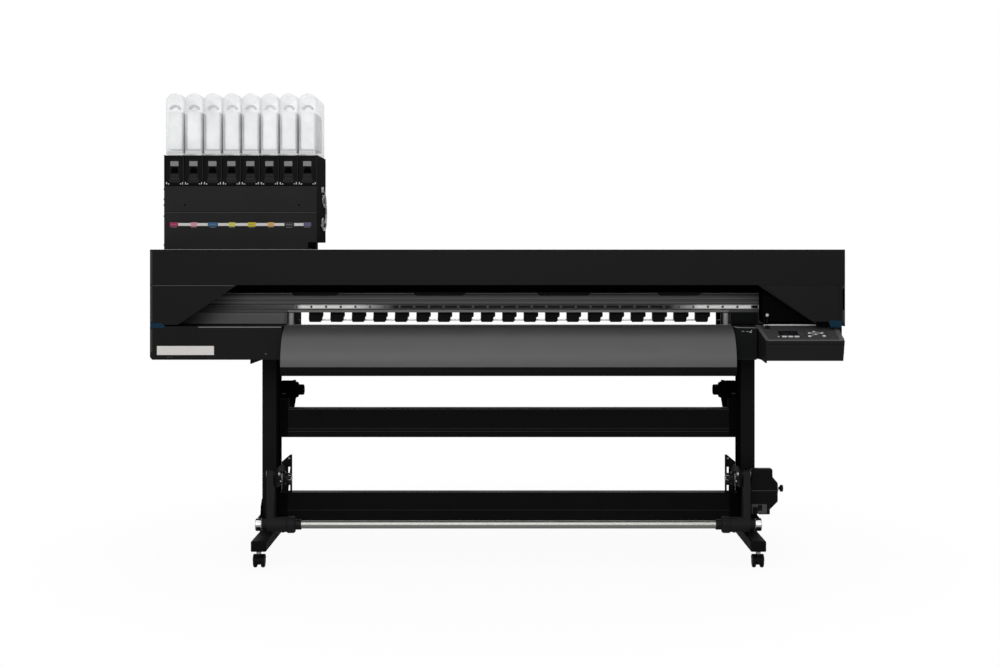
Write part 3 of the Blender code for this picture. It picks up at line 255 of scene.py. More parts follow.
LOOKS = {
    "body": painted("body_paint", (0.0092, 0.0092, 0.0094), 0.48, 0.06, 650, 0.04),
    "panel": painted("access_panel_paint", (0.0104, 0.0104, 0.0107), 0.5, 0.06, 650, 0.04),
    "ink_body": painted("ink_unit_paint", (0.0225, 0.0225, 0.0225), 0.5, 0.06, 650, 0.0),
    "stand": painted("stand_paint", (0.005, 0.005, 0.0051), 0.48, 0.1, 600, 0.02),
    "leg": painted("leg_paint", (0.0078, 0.0078, 0.0079), 0.48, 0.1, 600, 0.02),
    "arm": painted("arm_paint", (0.0133, 0.0133, 0.0135), 0.48, 0.06, 650, 0.04),
    "motor": painted("motor_box_paint", (0.0058, 0.0058, 0.006), 0.48, 0.06, 650, 0.03),
    "chassis": painted("chassis_paint", (0.006, 0.006, 0.0065), 0.55, 0.12, 500, 0.03),
    # Rail beam: painted shade, its grey darkening towards both ends where the side covers shade it.
    "bar": painted_light_along(painted("rail_beam_painted_end_shade", (0.068, 0.068, 0.07), 0.42, 0.05, 900, 0.15, 0.12), "X",
                  ((-1.32, 0.3), (-1.2, 0.35), (-1.04, 1.0), (0.9, 1.0), (1.06, 0.8), (1.32, 0.4))),
    # Apron: painted shade along its height, darkest at the top under the bed, lightest near 0.87 m, a
    # little darker towards the bottom.
    "apron": painted_light_along(painted("apron_paint", (0.095, 0.095, 0.096), 0.4, 0.04, 800, 0.15, 0.15), "Z",
                    ((0.76, 0.88), (0.8, 0.92), (0.87, 1.0), (0.915, 0.84), (0.945, 0.6), (0.96, 0.45))),
    "plastic": moulded("black_plastic", (0.0048, 0.0048, 0.005), 0.5, 0.15, 1200, 0.05),
    "hub": moulded("hub_plastic", (0.0075, 0.0075, 0.0078), 0.42, 0.15, 1200, 0.08),
    "box": moulded("control_box_plastic", (0.011, 0.011, 0.0114), 0.45, 0.08, 1500, 0.04),
    "panel_top": moulded("panel_skin", (0.047, 0.047, 0.048), 0.45, 0.06, 1500, 0.1),
    "keys": moulded("key_white", (0.62, 0.62, 0.62), 0.45, 0.03, 1500, 0.3, 0.1),
    "light": moulded("light_grey_plastic", (0.3, 0.3, 0.305), 0.45, 0.06, 1200, 0.3),
    "tag": moulded("tag_grey", (0.2, 0.2, 0.203), 0.5, 0.05, 900, 0.2),
    "label": moulded("blank_label", (0.62, 0.6, 0.58), 0.5, 0.02, 900, 0.3, 0.08),
    "clip": moulded("white_clip", (0.7, 0.7, 0.7), 0.4, 0.03, 900, 0.3),
    "accent": painted("accent_blue", (0.005, 0.025, 0.048), 0.35, 0.08, 700, 0.05),
    "shaft": brushed("pinch_shaft", (0.85, 0.85, 0.84), 0.3),
    "shade": painted("shaded_black", (0.003, 0.003, 0.0031), 0.55, 0.1, 600, 0.0),
    "rubber": moulded("caster_rubber", (0.006, 0.006, 0.0062), 0.65, 0.2, 900, 0.06),
    "steel": brushed("bright_steel", (0.27, 0.27, 0.255), 0.26),
    "disc": brushed("polished_disc", (0.5, 0.5, 0.49), 0.2, (60.0, 1.0, 60.0)),
    # Rail: painted reflection, the steel nearly black except for bright bands near X -0.8 to -0.6 and from
    # 0.8 onward, where it would mirror light.
    "rail": painted_light_along(brushed("rail_steel_painted_reflections", (0.5, 0.5, 0.49), 0.34), "X",
                   ((-1.1, 0.05), (-0.83, 0.1), (-0.8, 0.9), (-0.6, 0.9), (-0.5, 0.3), (-0.42, 0.015),
                    (0.7, 0.015), (0.79, 0.45), (0.82, 1.0), (1.05, 1.0))),
    "zinc": brushed("zinc_screw", (0.35, 0.35, 0.34), 0.38, (20.0, 20.0, 20.0)),
    # Near black for black parts and joints, and painted shade for vents, holes, slots and faces that stand
    # in shadow.
    "dark": painted("near_black_and_painted_shade", (0.002, 0.002, 0.0022), 0.7, 0.1, 500, 0.0),
    "cover": frosted("frosted_cover", (0.95, 0.97, 0.99), 0.42),
    "pouch": frosted("ink_pouch", (0.97, 0.98, 0.99), 0.94, 0.5),
    "screen": screen_glass("display_glass"),
    # Seam beads: painted highlight, a light line where the edge along a seam would catch the light.
    "seam_highlight": painted("seam_painted_highlight", (0.055, 0.055, 0.056), 0.4, 0.1, 700, 0.3),
    # Light strips on lips, folds and edges: painted highlight where those edges catch the light.
    "lip": painted("lip_painted_highlight", (0.16, 0.16, 0.162), 0.4, 0.1, 700, 0.3),
    # Corner strips: painted highlight along the body's vertical front edges.
    "corner": painted("corner_painted_highlight", (0.03, 0.03, 0.031), 0.5, 0.1, 650, 0.1),
    "dark_screw": brushed("black_zinc_screw", (0.05, 0.05, 0.052), 0.4, (20.0, 20.0, 20.0)),
    # Light lines on the rail beam's grooves and top lip: painted highlight.
    "bar_highlight": painted("beam_groove_painted_highlight", (0.16, 0.16, 0.164), 0.38, 0.06, 900, 0.3, 0.1),
    "shield": painted("shield_paint", (0.0066, 0.0078, 0.0072), 0.5, 0.1, 600, 0.02),
    # Left skirt skin: painted light and shade, a lighter copy of the beam's grey that darkens towards its
    # left end, where the side cover shades it.
    "plate": painted_light_along(painted("bed_plate_painted_light_and_shade", (0.114, 0.114, 0.115), 0.45, 0.04, 900, 0.1, 0.12), "X",
                    ((-1.31, 0.3), (-1.24, 0.55), (-1.14, 1.0), (-0.85, 1.0))),
    "rail_dark": brushed("rail_race", (0.1, 0.1, 0.1), 0.4),
    # Apron hem: painted shade, nearly black for the dark band where the apron turns to face forward.
    "hem": painted("apron_hem_painted_shade", (0.0064, 0.0064, 0.0065), 0.5, 0.1, 700, 0.02),
    "rim": moulded("panel_rim", (0.085, 0.085, 0.087), 0.4, 0.06, 1500, 0.3),
    # Panel's rear strip: painted highlight along the control panel's top rear edge.
    "rear_edge_highlight": moulded("panel_rear_painted_highlight", (0.9, 0.9, 0.9), 0.4, 0.04, 1500, 0.3),
    "lcd": moulded("lcd_characters", (0.014, 0.015, 0.017), 0.4, 0.05, 1500, 0.2, 0.05),
    "lever": moulded("lever_knobs", (0.55, 0.55, 0.55), 0.3, 0.03, 900, 0.5, 0.05),
    "latch": moulded("latch_plastic", (0.01, 0.01, 0.0102), 0.45, 0.1, 1200, 0.08),
    "light_edge": moulded("latch_edge", (0.022, 0.022, 0.023), 0.45, 0.1, 1200, 0.1),
    "hose": frosted("clear_hose", (0.62, 0.64, 0.65), 0.8, 0.2),
    "arch": moulded("pouch_hanger", (0.4, 0.41, 0.42), 0.5, 0.03, 900, 0.2),
    "band": moulded("pouch_band", (0.66, 0.67, 0.68), 0.5, 0.03, 900, 0.2),
    # Beam fold lines: painted highlight where the bends catch the light.
    "fold": painted("fold_painted_highlight", (0.016, 0.016, 0.0165), 0.45, 0.1, 600, 0.25),
    "plate_grey": moulded("switch_plate_grey", (0.055, 0.055, 0.056), 0.45, 0.06, 1200, 0.25),
    "boss": brushed("cast_boss", (0.14, 0.14, 0.14), 0.4, (20.0, 20.0, 20.0)),
    "hub_light": moulded("hub_cap", (0.022, 0.022, 0.023), 0.4, 0.1, 1200, 0.3),
}


def ink_colour(name, colour):
    return moulded("ink_mark_" + name, colour, 0.45, 0.02, 900, 0.3, 0.05)


# Shapes

def piece(name, mesh, look, body, slot, replaces=(), bevel=0.0, segments=2, smooth=32):
    """Links a bmesh, or several as one, as a piece that rides on a body, with rounded edges if asked."""
    if isinstance(mesh, list):
        mesh = merged(mesh)
    bmesh.ops.recalc_face_normals(mesh, faces=mesh.faces)
    data = bpy.data.meshes.new(name)
    mesh.to_mesh(data)
    mesh.free()
    made = bpy.data.objects.new(name, data)
    bpy.context.scene.collection.objects.link(made)
    data.materials.append(LOOKS[look] if isinstance(look, str) else look)
    finish_edges(made, bevel, segments, smooth)
    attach(made, body)
    if replaces:
        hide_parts(*replaces)
    return made


def trim(name, mesh, look, slot="body_paint", **edges):
    """A piece on the fixed body."""
    return piece(name, mesh, look, ROOT, slot, **edges)


def finish_edges(made, bevel, segments, smooth):
    if bevel:
        edges = made.modifiers.new("Rounded", "BEVEL")
        edges.width = bevel
        edges.segments = segments
        edges.limit_method = "ANGLE"
        edges.angle_limit = math.radians(35)
        edges.miter_outer = "MITER_ARC"
        edges.harden_normals = False
    made.data.shade_smooth()
    made.data.set_sharp_from_angle(angle=math.radians(smooth))


def refined(node, look, bevel, slot, reshape=None):
    """The CAD node's own shape with rounded edges, in place of the node."""
    source = frame["nodes"][node]
    mesh = bmesh.new()
    mesh.from_mesh(source.data)
    bmesh.ops.remove_doubles(mesh, verts=mesh.verts, dist=1e-5)
    bmesh.ops.dissolve_limit(mesh, angle_limit=math.radians(0.6), verts=mesh.verts, edges=mesh.edges)
    if reshape:
        for vert in mesh.verts:
            reshape(vert.co)
    return piece("visual_" + node, mesh, look, source["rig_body"], slot, (node,), bevel)


def merged(meshes):
    whole = bmesh.new()
    for mesh in meshes:
        data = bpy.data.meshes.new("part")
        mesh.to_mesh(data)
        mesh.free()
        whole.from_mesh(data)
        bpy.data.meshes.remove(data)
    return whole


def block(x, y, z):
    mesh = bmesh.new()
    corners = [mesh.verts.new((a, b, c)) for a in x for b in y for c in z]
    bmesh.ops.convex_hull(mesh, input=corners)
    bmesh.ops.dissolve_limit(mesh, angle_limit=0.01, verts=mesh.verts, edges=mesh.edges)
    return mesh


def closed(outlines):
    """A closed mesh between two outlines with as many points each."""
    mesh = bmesh.new()
    near, far = [[mesh.verts.new(point) for point in outline] for outline in outlines]
    mesh.faces.new(near)
    mesh.faces.new(far[::-1])
    for i in range(len(near)):
        j = (i + 1) % len(near)
        mesh.faces.new((near[i], near[j], far[j], far[i]))
    return mesh


def ordered(*ends):
    return tuple(sorted(ends))


def prism(outline, axis, span):
    place = {
        "X": lambda a, b, s: (s, a, b),
        "Y": lambda a, b, s: (a, s, b),
        "Z": lambda a, b, s: (a, b, s),
    }[axis]
    return closed([[place(a, b, s) for a, b in outline] for s in span])


def arc(centre, radius, start, end, steps):
    angles = [math.radians(start + (end - start) * k / steps) for k in range(steps + 1)]
    return [(centre[0] + radius * math.cos(a), centre[1] + radius * math.sin(a)) for a in angles]


def rounded(x, z, radius):
    """A rectangle's outline with round corners."""
    corners = [((x[1], z[1]), 0), ((x[0], z[1]), 90), ((x[0], z[0]), 180), ((x[1], z[0]), 270)]
    outline = []
    for (cx, cz), start in corners:
        centre = (cx - radius if cx == x[1] else cx + radius, cz - radius if cz == z[1] else cz + radius)
        outline += arc(centre, radius, start, start + 90, 5)
    return outline


def turned(profile, centre, axis, steps):
    """Turns (place, radius) pairs about a line along an axis. centre holds the other two coordinates."""
    point = {
        "X": lambda s, a, b: (s, centre[0] + a, centre[1] + b),
        "Y": lambda s, a, b: (centre[0] + a, s, centre[1] + b),
        "Z": lambda s, a, b: (centre[0] + a, centre[1] + b, s),
    }[axis]
    mesh = bmesh.new()
    rings = []
    for place, radius in profile:
        if radius == 0:
            rings.append([mesh.verts.new(point(place, 0, 0))])
            continue
        turns = [2 * math.pi * k / steps for k in range(steps)]
        rings.append([mesh.verts.new(point(place, radius * math.cos(t), radius * math.sin(t)))
                      for t in turns])
    for near, far in zip(rings, rings[1:]):
        for k in range(steps):
            n = (k + 1) % steps
            corners = [near[k % len(near)], near[n % len(near)], far[n % len(far)], far[k % len(far)]]
            mesh.faces.new(list(dict.fromkeys(corners)))
    return mesh


def spokes(count, turn, centre, ends, radius):
    """Thin rods spread round an X axis, each through (place, distance from the axis) pairs."""
    rods = []
    for k in range(count):
        angle = 2 * math.pi * k / count + turn
        across, up = math.cos(angle), math.sin(angle)
        path = [(x, centre[0] + out * across, centre[1] + out * up) for x, out in ends]
        rods.append(tube(path, radius, 1))
    return rods


def screw(centre, axis, outward, radius, height):
    """A low domed head with a hexagon socket, standing outward from centre along an axis."""
    index = "XYZ".index(axis)
    across = tuple(c for k, c in enumerate(centre) if k != index)
    base = centre[index]
    socket = radius * 0.45
    dome = [(0.0, radius), (0.45, radius * 0.97), (0.8, radius * 0.8), (1.0, radius * 0.6)]
    profile = [(base - outward * 0.001, 0), (base - outward * 0.001, radius)]
    profile += [(base + outward * height * share, r) for share, r in dome]
    profile += [(base + outward * height, socket), (base + outward * height * 0.4, socket * 0.95),
                (base + outward * height * 0.4, 0)]
    return turned(profile, across, axis, 18)


def tube(points, radius, steps=10):
    """A round rod along a smooth line through the points."""
    curve = bpy.data.curves.new("path", "CURVE")
    curve.dimensions = "3D"
    spline = curve.splines.new("BEZIER")
    spline.bezier_points.add(len(points) - 1)
    for knot, point in zip(spline.bezier_points, points):
        knot.co = point
        knot.handle_left_type = knot.handle_right_type = "AUTO"
    curve.bevel_depth = radius
    curve.bevel_resolution = 4
    curve.resolution_u = steps
    curve.use_fill_caps = True
    holder = bpy.data.objects.new("path", curve)
    bpy.context.scene.collection.objects.link(holder)
    bpy.context.view_layer.update()
    mesh = bmesh.new()
    mesh.from_mesh(holder.evaluated_get(bpy.context.evaluated_depsgraph_get()).to_mesh())
    bpy.data.objects.remove(holder)
    bpy.data.curves.remove(curve)
    return mesh


# The frame's own shapes, with rounded edges

FINISHES = (
    ("body", 0.002, "body_paint", "hood"),
    ("body", 0.0015, "body_paint", "rear_cover left_case right_case"),
    ("body", 0.0012, "body_paint", "left_side_cover right_side_cover"),
    ("ink_body", 0.0012, "body_paint", "ink_cabinet"),
    ("ink_body", 0.001, "body_paint", "ink_tray"),
    ("motor", 0.0025, "body_paint", "take_up_motor_box"),
    ("apron", 0.0006, "apron_paint", "apron"),
    ("bar", 0.0015, "grey_aluminium", "y_bar"),
    ("bar", 0.001, "grey_aluminium", "platen"),
    ("bar", 0.0008, "grey_aluminium", "rear_media_guide"),
    ("rail", 0.001, "bright_steel", "linear_rail"),
    ("steel", 0.0006, "bright_steel", "grid_roller"),
    ("steel", 0.001, "bright_steel", "tension_tube"),
    ("chassis", 0.001, "chassis_paint", "chassis"),
    ("box", 0.0022, "panel_plastic", "control_box"),
    ("screen", 0.0004, "screen", "display"),
    ("panel_top", 0.001, "black_plastic", "function_keys jog_pad"),
    ("plastic", 0.0015, "black_plastic", "capping_station"),
    ("plastic", 0.001, "black_plastic", "pinch_bar"),
    ("plastic", 0.0012, "black_plastic", "take_up_knob"),
    ("plastic", 0.0008, "black_plastic", "take_up_switch"),
    ("shade", 0.004, "black_plastic", "carriage"),
    ("shade", 0.0015, "black_plastic", "left_roll_flange right_roll_flange"),
    ("shade", 0.001, "stand_paint", "left_roll_holder right_roll_holder"),
    ("shaft", 0.0008, "rubber", "pinch_rollers"),
    ("hub", 0.0012, "black_plastic", "take_up_idle_flange take_up_drive_flange"),
    ("leg", 0.002, "stand_paint", "left_leg right_leg"),
    ("stand", 0.002, "stand_paint", "left_foot right_foot"),
    ("stand", 0.0015, "stand_paint", "upper_beam lower_beam"),
    ("stand", 0.001, "stand_paint", "left_take_up_bracket right_take_up_bracket"),
)
SIDES = (("left", -1), ("right", 1))
CORNERS = ("front_left", "front_right", "rear_left", "rear_right")


def dress_frame():
    for look, bevel, slot, nodes in FINISHES:
        for node in nodes.split():
            refined(node, look, bevel, slot)
    for corner in CORNERS:
        refined(corner + "_caster_fork", "plastic", 0.0015, "black_plastic")


# Trim on the covers

def strip(x, z, face, proud=0.0012):
    """A flat bar on a surface that faces the front."""
    return block(x, (face - proud, face + 0.002), z)


def dress_covers():
    """Seam beads, the access panel's edge, corner strips, accents, the blank label and screws; the beads,
    the corner strips and the case lip are light strips painted as highlights.
    """
    front = BODY_FRONT
    seam = HOOD_BOTTOM - 0.0004
    diagonal = BODY_X - 0.348
    # Seam bead: painted highlight under the hood's lower edge.
    trim("left_seam_bead", strip((-BODY_X + 0.006, -diagonal - 0.012), (seam - 0.003, seam - 0.0006),
                                 front), "seam_highlight", bevel=0.0007)
    # Case lip: painted highlight along the case's top edge.
    trim("left_case_lip", strip((-1.195, low("platen").x - 0.002), (CASE_TOP - 0.0052, CASE_TOP - 0.0012),
                                front), "lip", bevel=0.001)
    # Corner strips: painted highlights along the body's vertical front edges.
    for label, side in SIDES:
        edge = ordered(side * (BODY_X - 0.0006), side * (BODY_X - 0.01))
        strips = [strip(edge, (low("left_side_cover").z + 0.016, seam - 0.004), front, 0.0008)]
        strips.append(strip(edge, (BODY_BOTTOM + 0.03, CASE_TOP - 0.01), front, 0.0008) if side < 0
                      else strip(edge, (seam - 0.1, seam - 0.012), front, 0.0008))
        trim(label + "_corner_highlight", strips, "corner", bevel=0.0007)
    # Hood corner strip: painted highlight along the hood's left front edge.
    piece("hood_corner_highlight", strip((-BODY_X + 0.0006, -BODY_X + 0.01),
                                     (HOOD_BOTTOM + 0.004, BODY_TOP - 0.004), front, 0.0008), "corner",
          "hood", "body_paint", bevel=0.0007)
    access_panel(front, seam, diagonal)
    accents(front)
    trim("blank_label", strip((-1.3598, -1.1321), (0.8427, 0.8786), front, 0.0007), "label", bevel=0.0003)
    cover_screws(front)
    trim("case_hook", prism([(-0.988, BODY_BOTTOM - 0.0003), (-0.988, BODY_BOTTOM - 0.017),
                             (-0.984, BODY_BOTTOM - 0.0165), (-0.94, BODY_BOTTOM - 0.0003)], "Y",
                            (front + 0.004, front + 0.03)), "stand", bevel=0.0008)


def access_panel(front, seam, diagonal):
    """The right side cover's front skin, with its own round top corner."""
    right = BODY_X - 0.027
    bottom = low("right_side_cover").z + 0.0185
    foot = BODY_X - 0.12
    outline = [(diagonal + 0.022, seam - 0.001), (foot - 0.018, bottom + 0.005), (foot - 0.008, bottom)]
    outline += arc((right - 0.01, bottom + 0.01), 0.01, -90, 0, 5)
    outline += arc((right - 0.018, seam - 0.019), 0.018, 0, 90, 8)
    trim("access_panel", prism(outline, "Y", (front - 0.0016, front + 0.002)), "panel", bevel=0.0008)
    trim("access_panel_gap", strip((foot + 0.004, 1.3232),
                                   (low("right_side_cover").z + 0.0006, bottom - 0.0008), front, 0.0009),
         "dark", bevel=0.0003)


def accents(front):
    """Blue end blocks between the side covers and the cases."""
    top = low("left_side_cover").z + 0.0115
    left = [(-BODY_X + 0.0005, CASE_TOP - 0.0062), (-1.334, CASE_TOP - 0.0062), (-1.328, CASE_TOP - 0.002),
            (-1.33, top - 0.008), (-1.342, top), (-BODY_X + 0.0005, top)]
    trim("left_accent", prism(left, "Y", (front - 0.0014, front + 0.012)), "accent", bevel=0.001)
    right = [(1.33, CASE_TOP - 0.0045), (1.374, CASE_TOP - 0.0045), (1.376, 0.9795), (1.33, 0.9815),
             (1.324, 0.975)]
    trim("right_accent", prism(right, "Y", (front - 0.0022, front + 0.012)), "accent", bevel=0.001)


def cover_screws(front):
    heads = []
    for side in (-1, 1):
        for y in (-0.32, 0.02, 0.22):
            for z in (1.18, 1.074, 0.985, 0.905, 0.85):
                if y == 0.22 or z < 1.15:
                    heads.append(screw((side * (BODY_X - 0.0002), y, z), "X", side, 0.005, 0.0026))
    for x in (-1.315, -1.303):
        heads.append(screw((x, front - 0.0002, BODY_BOTTOM + 0.01), "Y", -1, 0.003, 0.0012))
    heads.append(screw((-0.925, front - 0.0002, 0.846), "Y", -1, 0.0045, 0.0016))
    trim("cover_screws", heads, "dark_screw")


# The print area behind the front opening

def dress_print_area():
    """Grooves, hold-down plates and lip of the rail beam, the rail's screws, posts and end blocks; the
    grooves and lips are light lines painted as highlights, and the left skirt carries painted light and
    shade.
    """
    left, right = low("y_bar").x, high("y_bar").x
    top = high("y_bar").z
    # Groove lines: painted highlights on the beam's edges.
    trim("beam_groove", [strip((left + 0.002, right - 0.002), (1.064, 1.0662), BAR_FACE, 0.0005),
                         strip((left + 0.002, right - 0.002), (1.047, 1.0485), BAR_FACE, 0.0005)],
         "bar_highlight", "grey_aluminium", bevel=0.0002)
    # Beam lip: painted highlight along the beam's lower lip.
    trim("beam_lip", strip((low("platen").x + 0.003, 0.945), (1.0069, 1.0165), BAR_FACE, 0.0016), "lip",
         "grey_aluminium", bevel=0.0012)
    # Top lip: painted highlight along the beam's upper edge.
    trim("beam_top_lip", strip((left + 0.002, 1.065), (top - 0.0022, top - 0.0004), BAR_FACE, 0.001),
         "bar_highlight", "grey_aluminium", bevel=0.0004)
    hold_downs = []
    for a, b in ((-0.8415, -0.6534), (-0.3425, -0.1339), (0.1647, 0.3773), (0.6555, 0.8273)):
        outline = [(a + 0.01, top - 0.011), (b - 0.01, top - 0.011), (b, top - 0.004), (b, top + 0.003),
                   (a, top + 0.003), (a, top - 0.004)]
        hold_downs.append(prism(outline, "Y", (BAR_FACE - 0.003, BAR_FACE + 0.001)))
        for x in (a + 0.04, b - 0.04):
            hold_downs.append(screw((x, BAR_FACE - 0.0028, top - 0.005), "Y", -1, 0.0035, 0.0014))
    trim("hold_down_plates", hold_downs, "plastic", "grey_aluminium", bevel=0.0006)
    rail_screws()
    posts_and_blocks()
    recess_details()
    pinch_units()
    # Left skirt skin: painted light and shade, lighter than the beam and darker towards its left end.
    skirt = low("y_bar").x + 0.014, low("platen").x - 0.012
    trim("left_plate_skin", strip(skirt, (0.96, 1.0062), -0.19, 0.0012), "plate", "grey_aluminium",
         bevel=0.0006)


def pinch_units():
    """The black moulded front of each pinch arm, flared at its foot, with a bracket on its right."""
    pitch = 0.0883
    count = 19
    middle = (low("pinch_rollers").x + high("pinch_rollers").x) / 2
    places = [middle + (k - (count - 1) / 2) * pitch for k in range(count)]
    z = low("pinch_rollers").z
    fronts = []
    for x in places:
        outline = [(x - 0.025, 1.0062), (x - 0.0262, z + 0.012), (x - 0.0235, z + 0.004),
                   (x - 0.0225, z + 0.0008), (x + 0.0215, z + 0.0008), (x + 0.0225, z + 0.004),
                   (x + 0.0255, z + 0.012), (x + 0.026, z + 0.02), (x + 0.033, z + 0.0225),
                   (x + 0.0345, z + 0.033), (x + 0.033, 1.0062)]
        fronts.append(prism(outline, "Y", (-0.1665, -0.161)))
        fronts.append(block((x - 0.017, x + 0.017), (-0.1685, -0.165), (z + 0.018, z + 0.03)))
    piece("pinch_fronts", fronts, "plastic", "pinch_bar", "black_plastic", bevel=0.001)
    axis = ((low("pinch_rollers").y + high("pinch_rollers").y) / 2, (z + high("pinch_rollers").z) / 2)
    tyres = []
    for x in places:
        tyres.append(turned([(x - 0.019, 0.008), (x - 0.019, 0.009), (x - 0.018, 0.0094),
                             (x + 0.018, 0.0094), (x + 0.019, 0.009), (x + 0.019, 0.008),
                             (x - 0.019, 0.008)], axis, "X", 20))
    piece("pinch_tyres", tyres, "rubber", "pinch_rollers", "rubber", smooth=50)


def rail_screws():
    middle = (low("linear_rail").z + high("linear_rail").z) / 2
    rings, sockets = [], []
    count, pitch, first = 33, 0.06, -0.8811
    for k in range(count):
        x = first + k * pitch
        rings.append(turned([(RAIL_FACE + 0.0005, 0), (RAIL_FACE + 0.0005, 0.0052),
                             (RAIL_FACE - 0.0006, 0.0052), (RAIL_FACE - 0.0006, 0.0042),
                             (RAIL_FACE - 0.0002, 0.004), (RAIL_FACE - 0.0002, 0)], (x, middle), "Y", 16))
        sockets.append(screw((x, RAIL_FACE - 0.0002, middle), "Y", -1, 0.0036, 0.0005))
    trim("rail_counterbores", rings, "dark_screw", "bright_steel")
    trim("rail_screws", sockets, "dark_screw", "bright_steel")
    lo, hi = low("linear_rail"), high("linear_rail")
    groove = [strip((lo.x + 0.001, hi.x - 0.001), (z, z + 0.0012), RAIL_FACE, 0.0004)
              for z in (lo.z + 0.0022, hi.z - 0.0034)]
    trim("rail_race_edges", groove, "rail_dark", "bright_steel", bevel=0.0002)
    trim("rail_end_stop", block((1.04, 1.062), (RAIL_FACE - 0.006, RAIL_FACE + 0.001), (1.0235, 1.0365)),
         "plastic", "black_plastic", bevel=0.0015)


def posts_and_blocks():
    """Light end posts of the media gap, with a dark clamp block beside each."""
    base, top = 0.9492, 1.006
    for label, x, side, reach in (("left", -0.845, 1, 0.031), ("right", 0.933, -1, 0.0205)):
        posts = turned([(base, 0), (base, 0.0114), (base + 0.003, 0.0116), (top - 0.005, 0.0116),
                        (top - 0.002, 0.0108), (top, 0.009), (top, 0)], (x, -0.186), "Z", 32)
        trim(label + "_gap_post", posts, "light", "grey_aluminium", smooth=40)
        near, far = x + side * 0.0125, x + side * reach
        block_x = ordered(near, far)
        trim(label + "_gap_block", [block(block_x, (-0.196, -0.18), (0.95, 1.0062)),
                                    block((block_x[0] + 0.003, block_x[1] - 0.003), (-0.199, -0.195),
                                          (0.962, 0.996))], "plastic", "black_plastic", bevel=0.0012)
    trim("right_shield", [block((0.952, 1.062), (-0.205, -0.1905), (0.959, 1.0062)),
                          block((0.962, 1.046), (-0.208, -0.204), (0.966, 0.998))], "shield",
         "black_plastic", bevel=0.002)


def recess_details():
    """Ribs and screws on the carriage's front, which shows dimly behind the right opening."""
    front = low("carriage").y
    x0, x1 = low("carriage").x, high("carriage").x
    z0, z1 = low("carriage").z, high("carriage").z
    ribs = [strip((x0 + 0.018 + 0.03 * k, x0 + 0.022 + 0.03 * k), (z0 + 0.03, z1 - 0.016), front,
                  0.0012) for k in range(8)]
    ribs.append(strip((x0 + 0.01, x1 - 0.01), (z0 + 0.02, z0 + 0.024), front, 0.0014))
    ribs.append(strip((x0 + 0.06, x0 + 0.2), (z1 - 0.014, z1 - 0.006), front, 0.002))
    piece("carriage_ribs", ribs, "shade", "carriage", "black_plastic", bevel=0.0005)
    heads = [screw((x, front - 0.0002, z), "Y", -1, 0.0035, 0.0015) for x in (x0 + 0.01, x1 - 0.01)
             for z in (z0 + 0.01, z1 - 0.01)]
    piece("carriage_screws", heads, "plastic", "carriage", "black_plastic")


# Apron and control box

def dress_apron():
    """The turned hem, painted dark as shade, the top fold and the bed's front edge, painted light as
    highlights, and the fixing screws.
    """
    x = (low("apron").x - 0.0004, high("apron").x + 0.0004)
    outer = [(-0.4362, 0.8), (-0.4358, 0.79), (-0.4326, 0.779), (-0.425, 0.77), (-0.412, 0.7632)]
    inner = [(-0.412, 0.765), (-0.424, 0.7716), (-0.4308, 0.78), (-0.434, 0.79), (-0.4344, 0.8)]
    # Hem: painted shade.
    trim("apron_hem", prism(outer + inner, "X", x), "hem", "apron_paint", bevel=0.0004)
    # Top fold and bed edge: painted highlights along the apron's top.
    trim("apron_top_fold", block((x[0] + 0.004, x[1] - 0.004), (-0.279, -0.2746), (0.9568, 0.9584)), "lip",
         "apron_paint", bevel=0.0006)
    trim("bed_front_edge", block((x[0] + 0.004, x[1] - 0.002), (-0.283, -0.279), (0.9588, 0.9612)), "lip",
         "apron_paint", bevel=0.0007)
    heads = [screw((side, -0.3, 0.956), "Z", 1, 0.0035, 0.0014)
             for side in (x[0] + 0.02, STAND_X, x[1] - 0.02)]
    trim("apron_screws", heads, "dark_screw", "apron_paint")


def panel_point(x, along, lift):
    """A point on the sloping panel: across from the box's left front corner, up the slope, and off it."""
    return (BOX_LEFT + x, BOX_LOW.y + along * math.cos(TURN) - lift * math.sin(TURN),
            EDGE_Z + along * math.sin(TURN) + lift * math.cos(TURN))


def on_panel(outline, lift):
    """A flat shape on the panel, from one lift to another."""
    return closed([[panel_point(x, along, height) for x, along in outline] for height in lift])


def panel_skin(thickness):
    """The panel's printed skin, with windows for the display, the keys and the pad."""
    windows = (((0.061, 0.138), (0.056, 0.098)), ((0.061, 0.145), (0.029, 0.051)),
               ((0.167, 0.253), (0.021, 0.101)))
    xs = sorted({0.004, BOX_HIGH.x - BOX_LEFT - 0.006} | {v for w in windows for v in w[0]})
    ys = sorted({0.004, SLOPE_LENGTH - 0.004} | {v for w in windows for v in w[1]})
    mesh = bmesh.new()
    grid = {}
    for x in xs:
        for y in ys:
            across = x if x > 0.01 else x - 0.02 * y / SLOPE_LENGTH
            grid[x, y] = mesh.verts.new(panel_point(across, y, 0.0001))
    for x0, x1 in zip(xs, xs[1:]):
        for y0, y1 in zip(ys, ys[1:]):
            middle = ((x0 + x1) / 2, (y0 + y1) / 2)
            if any(w[0][0] < middle[0] < w[0][1] and w[1][0] < middle[1] < w[1][1] for w in windows):
                continue
            mesh.faces.new([grid[x0, y0], grid[x1, y0], grid[x1, y1], grid[x0, y1]])
    raised = bmesh.ops.extrude_face_region(mesh, geom=mesh.faces[:])
    lift = Vector(panel_point(0, 0, thickness)) - Vector(panel_point(0, 0, 0))
    bmesh.ops.translate(mesh, vec=lift,
                        verts=[v for v in raised["geom"] if isinstance(v, bmesh.types.BMVert)])
    loose = [v for v in mesh.verts if not v.link_faces]
    bmesh.ops.delete(mesh, geom=loose, context="VERTS")
    return mesh


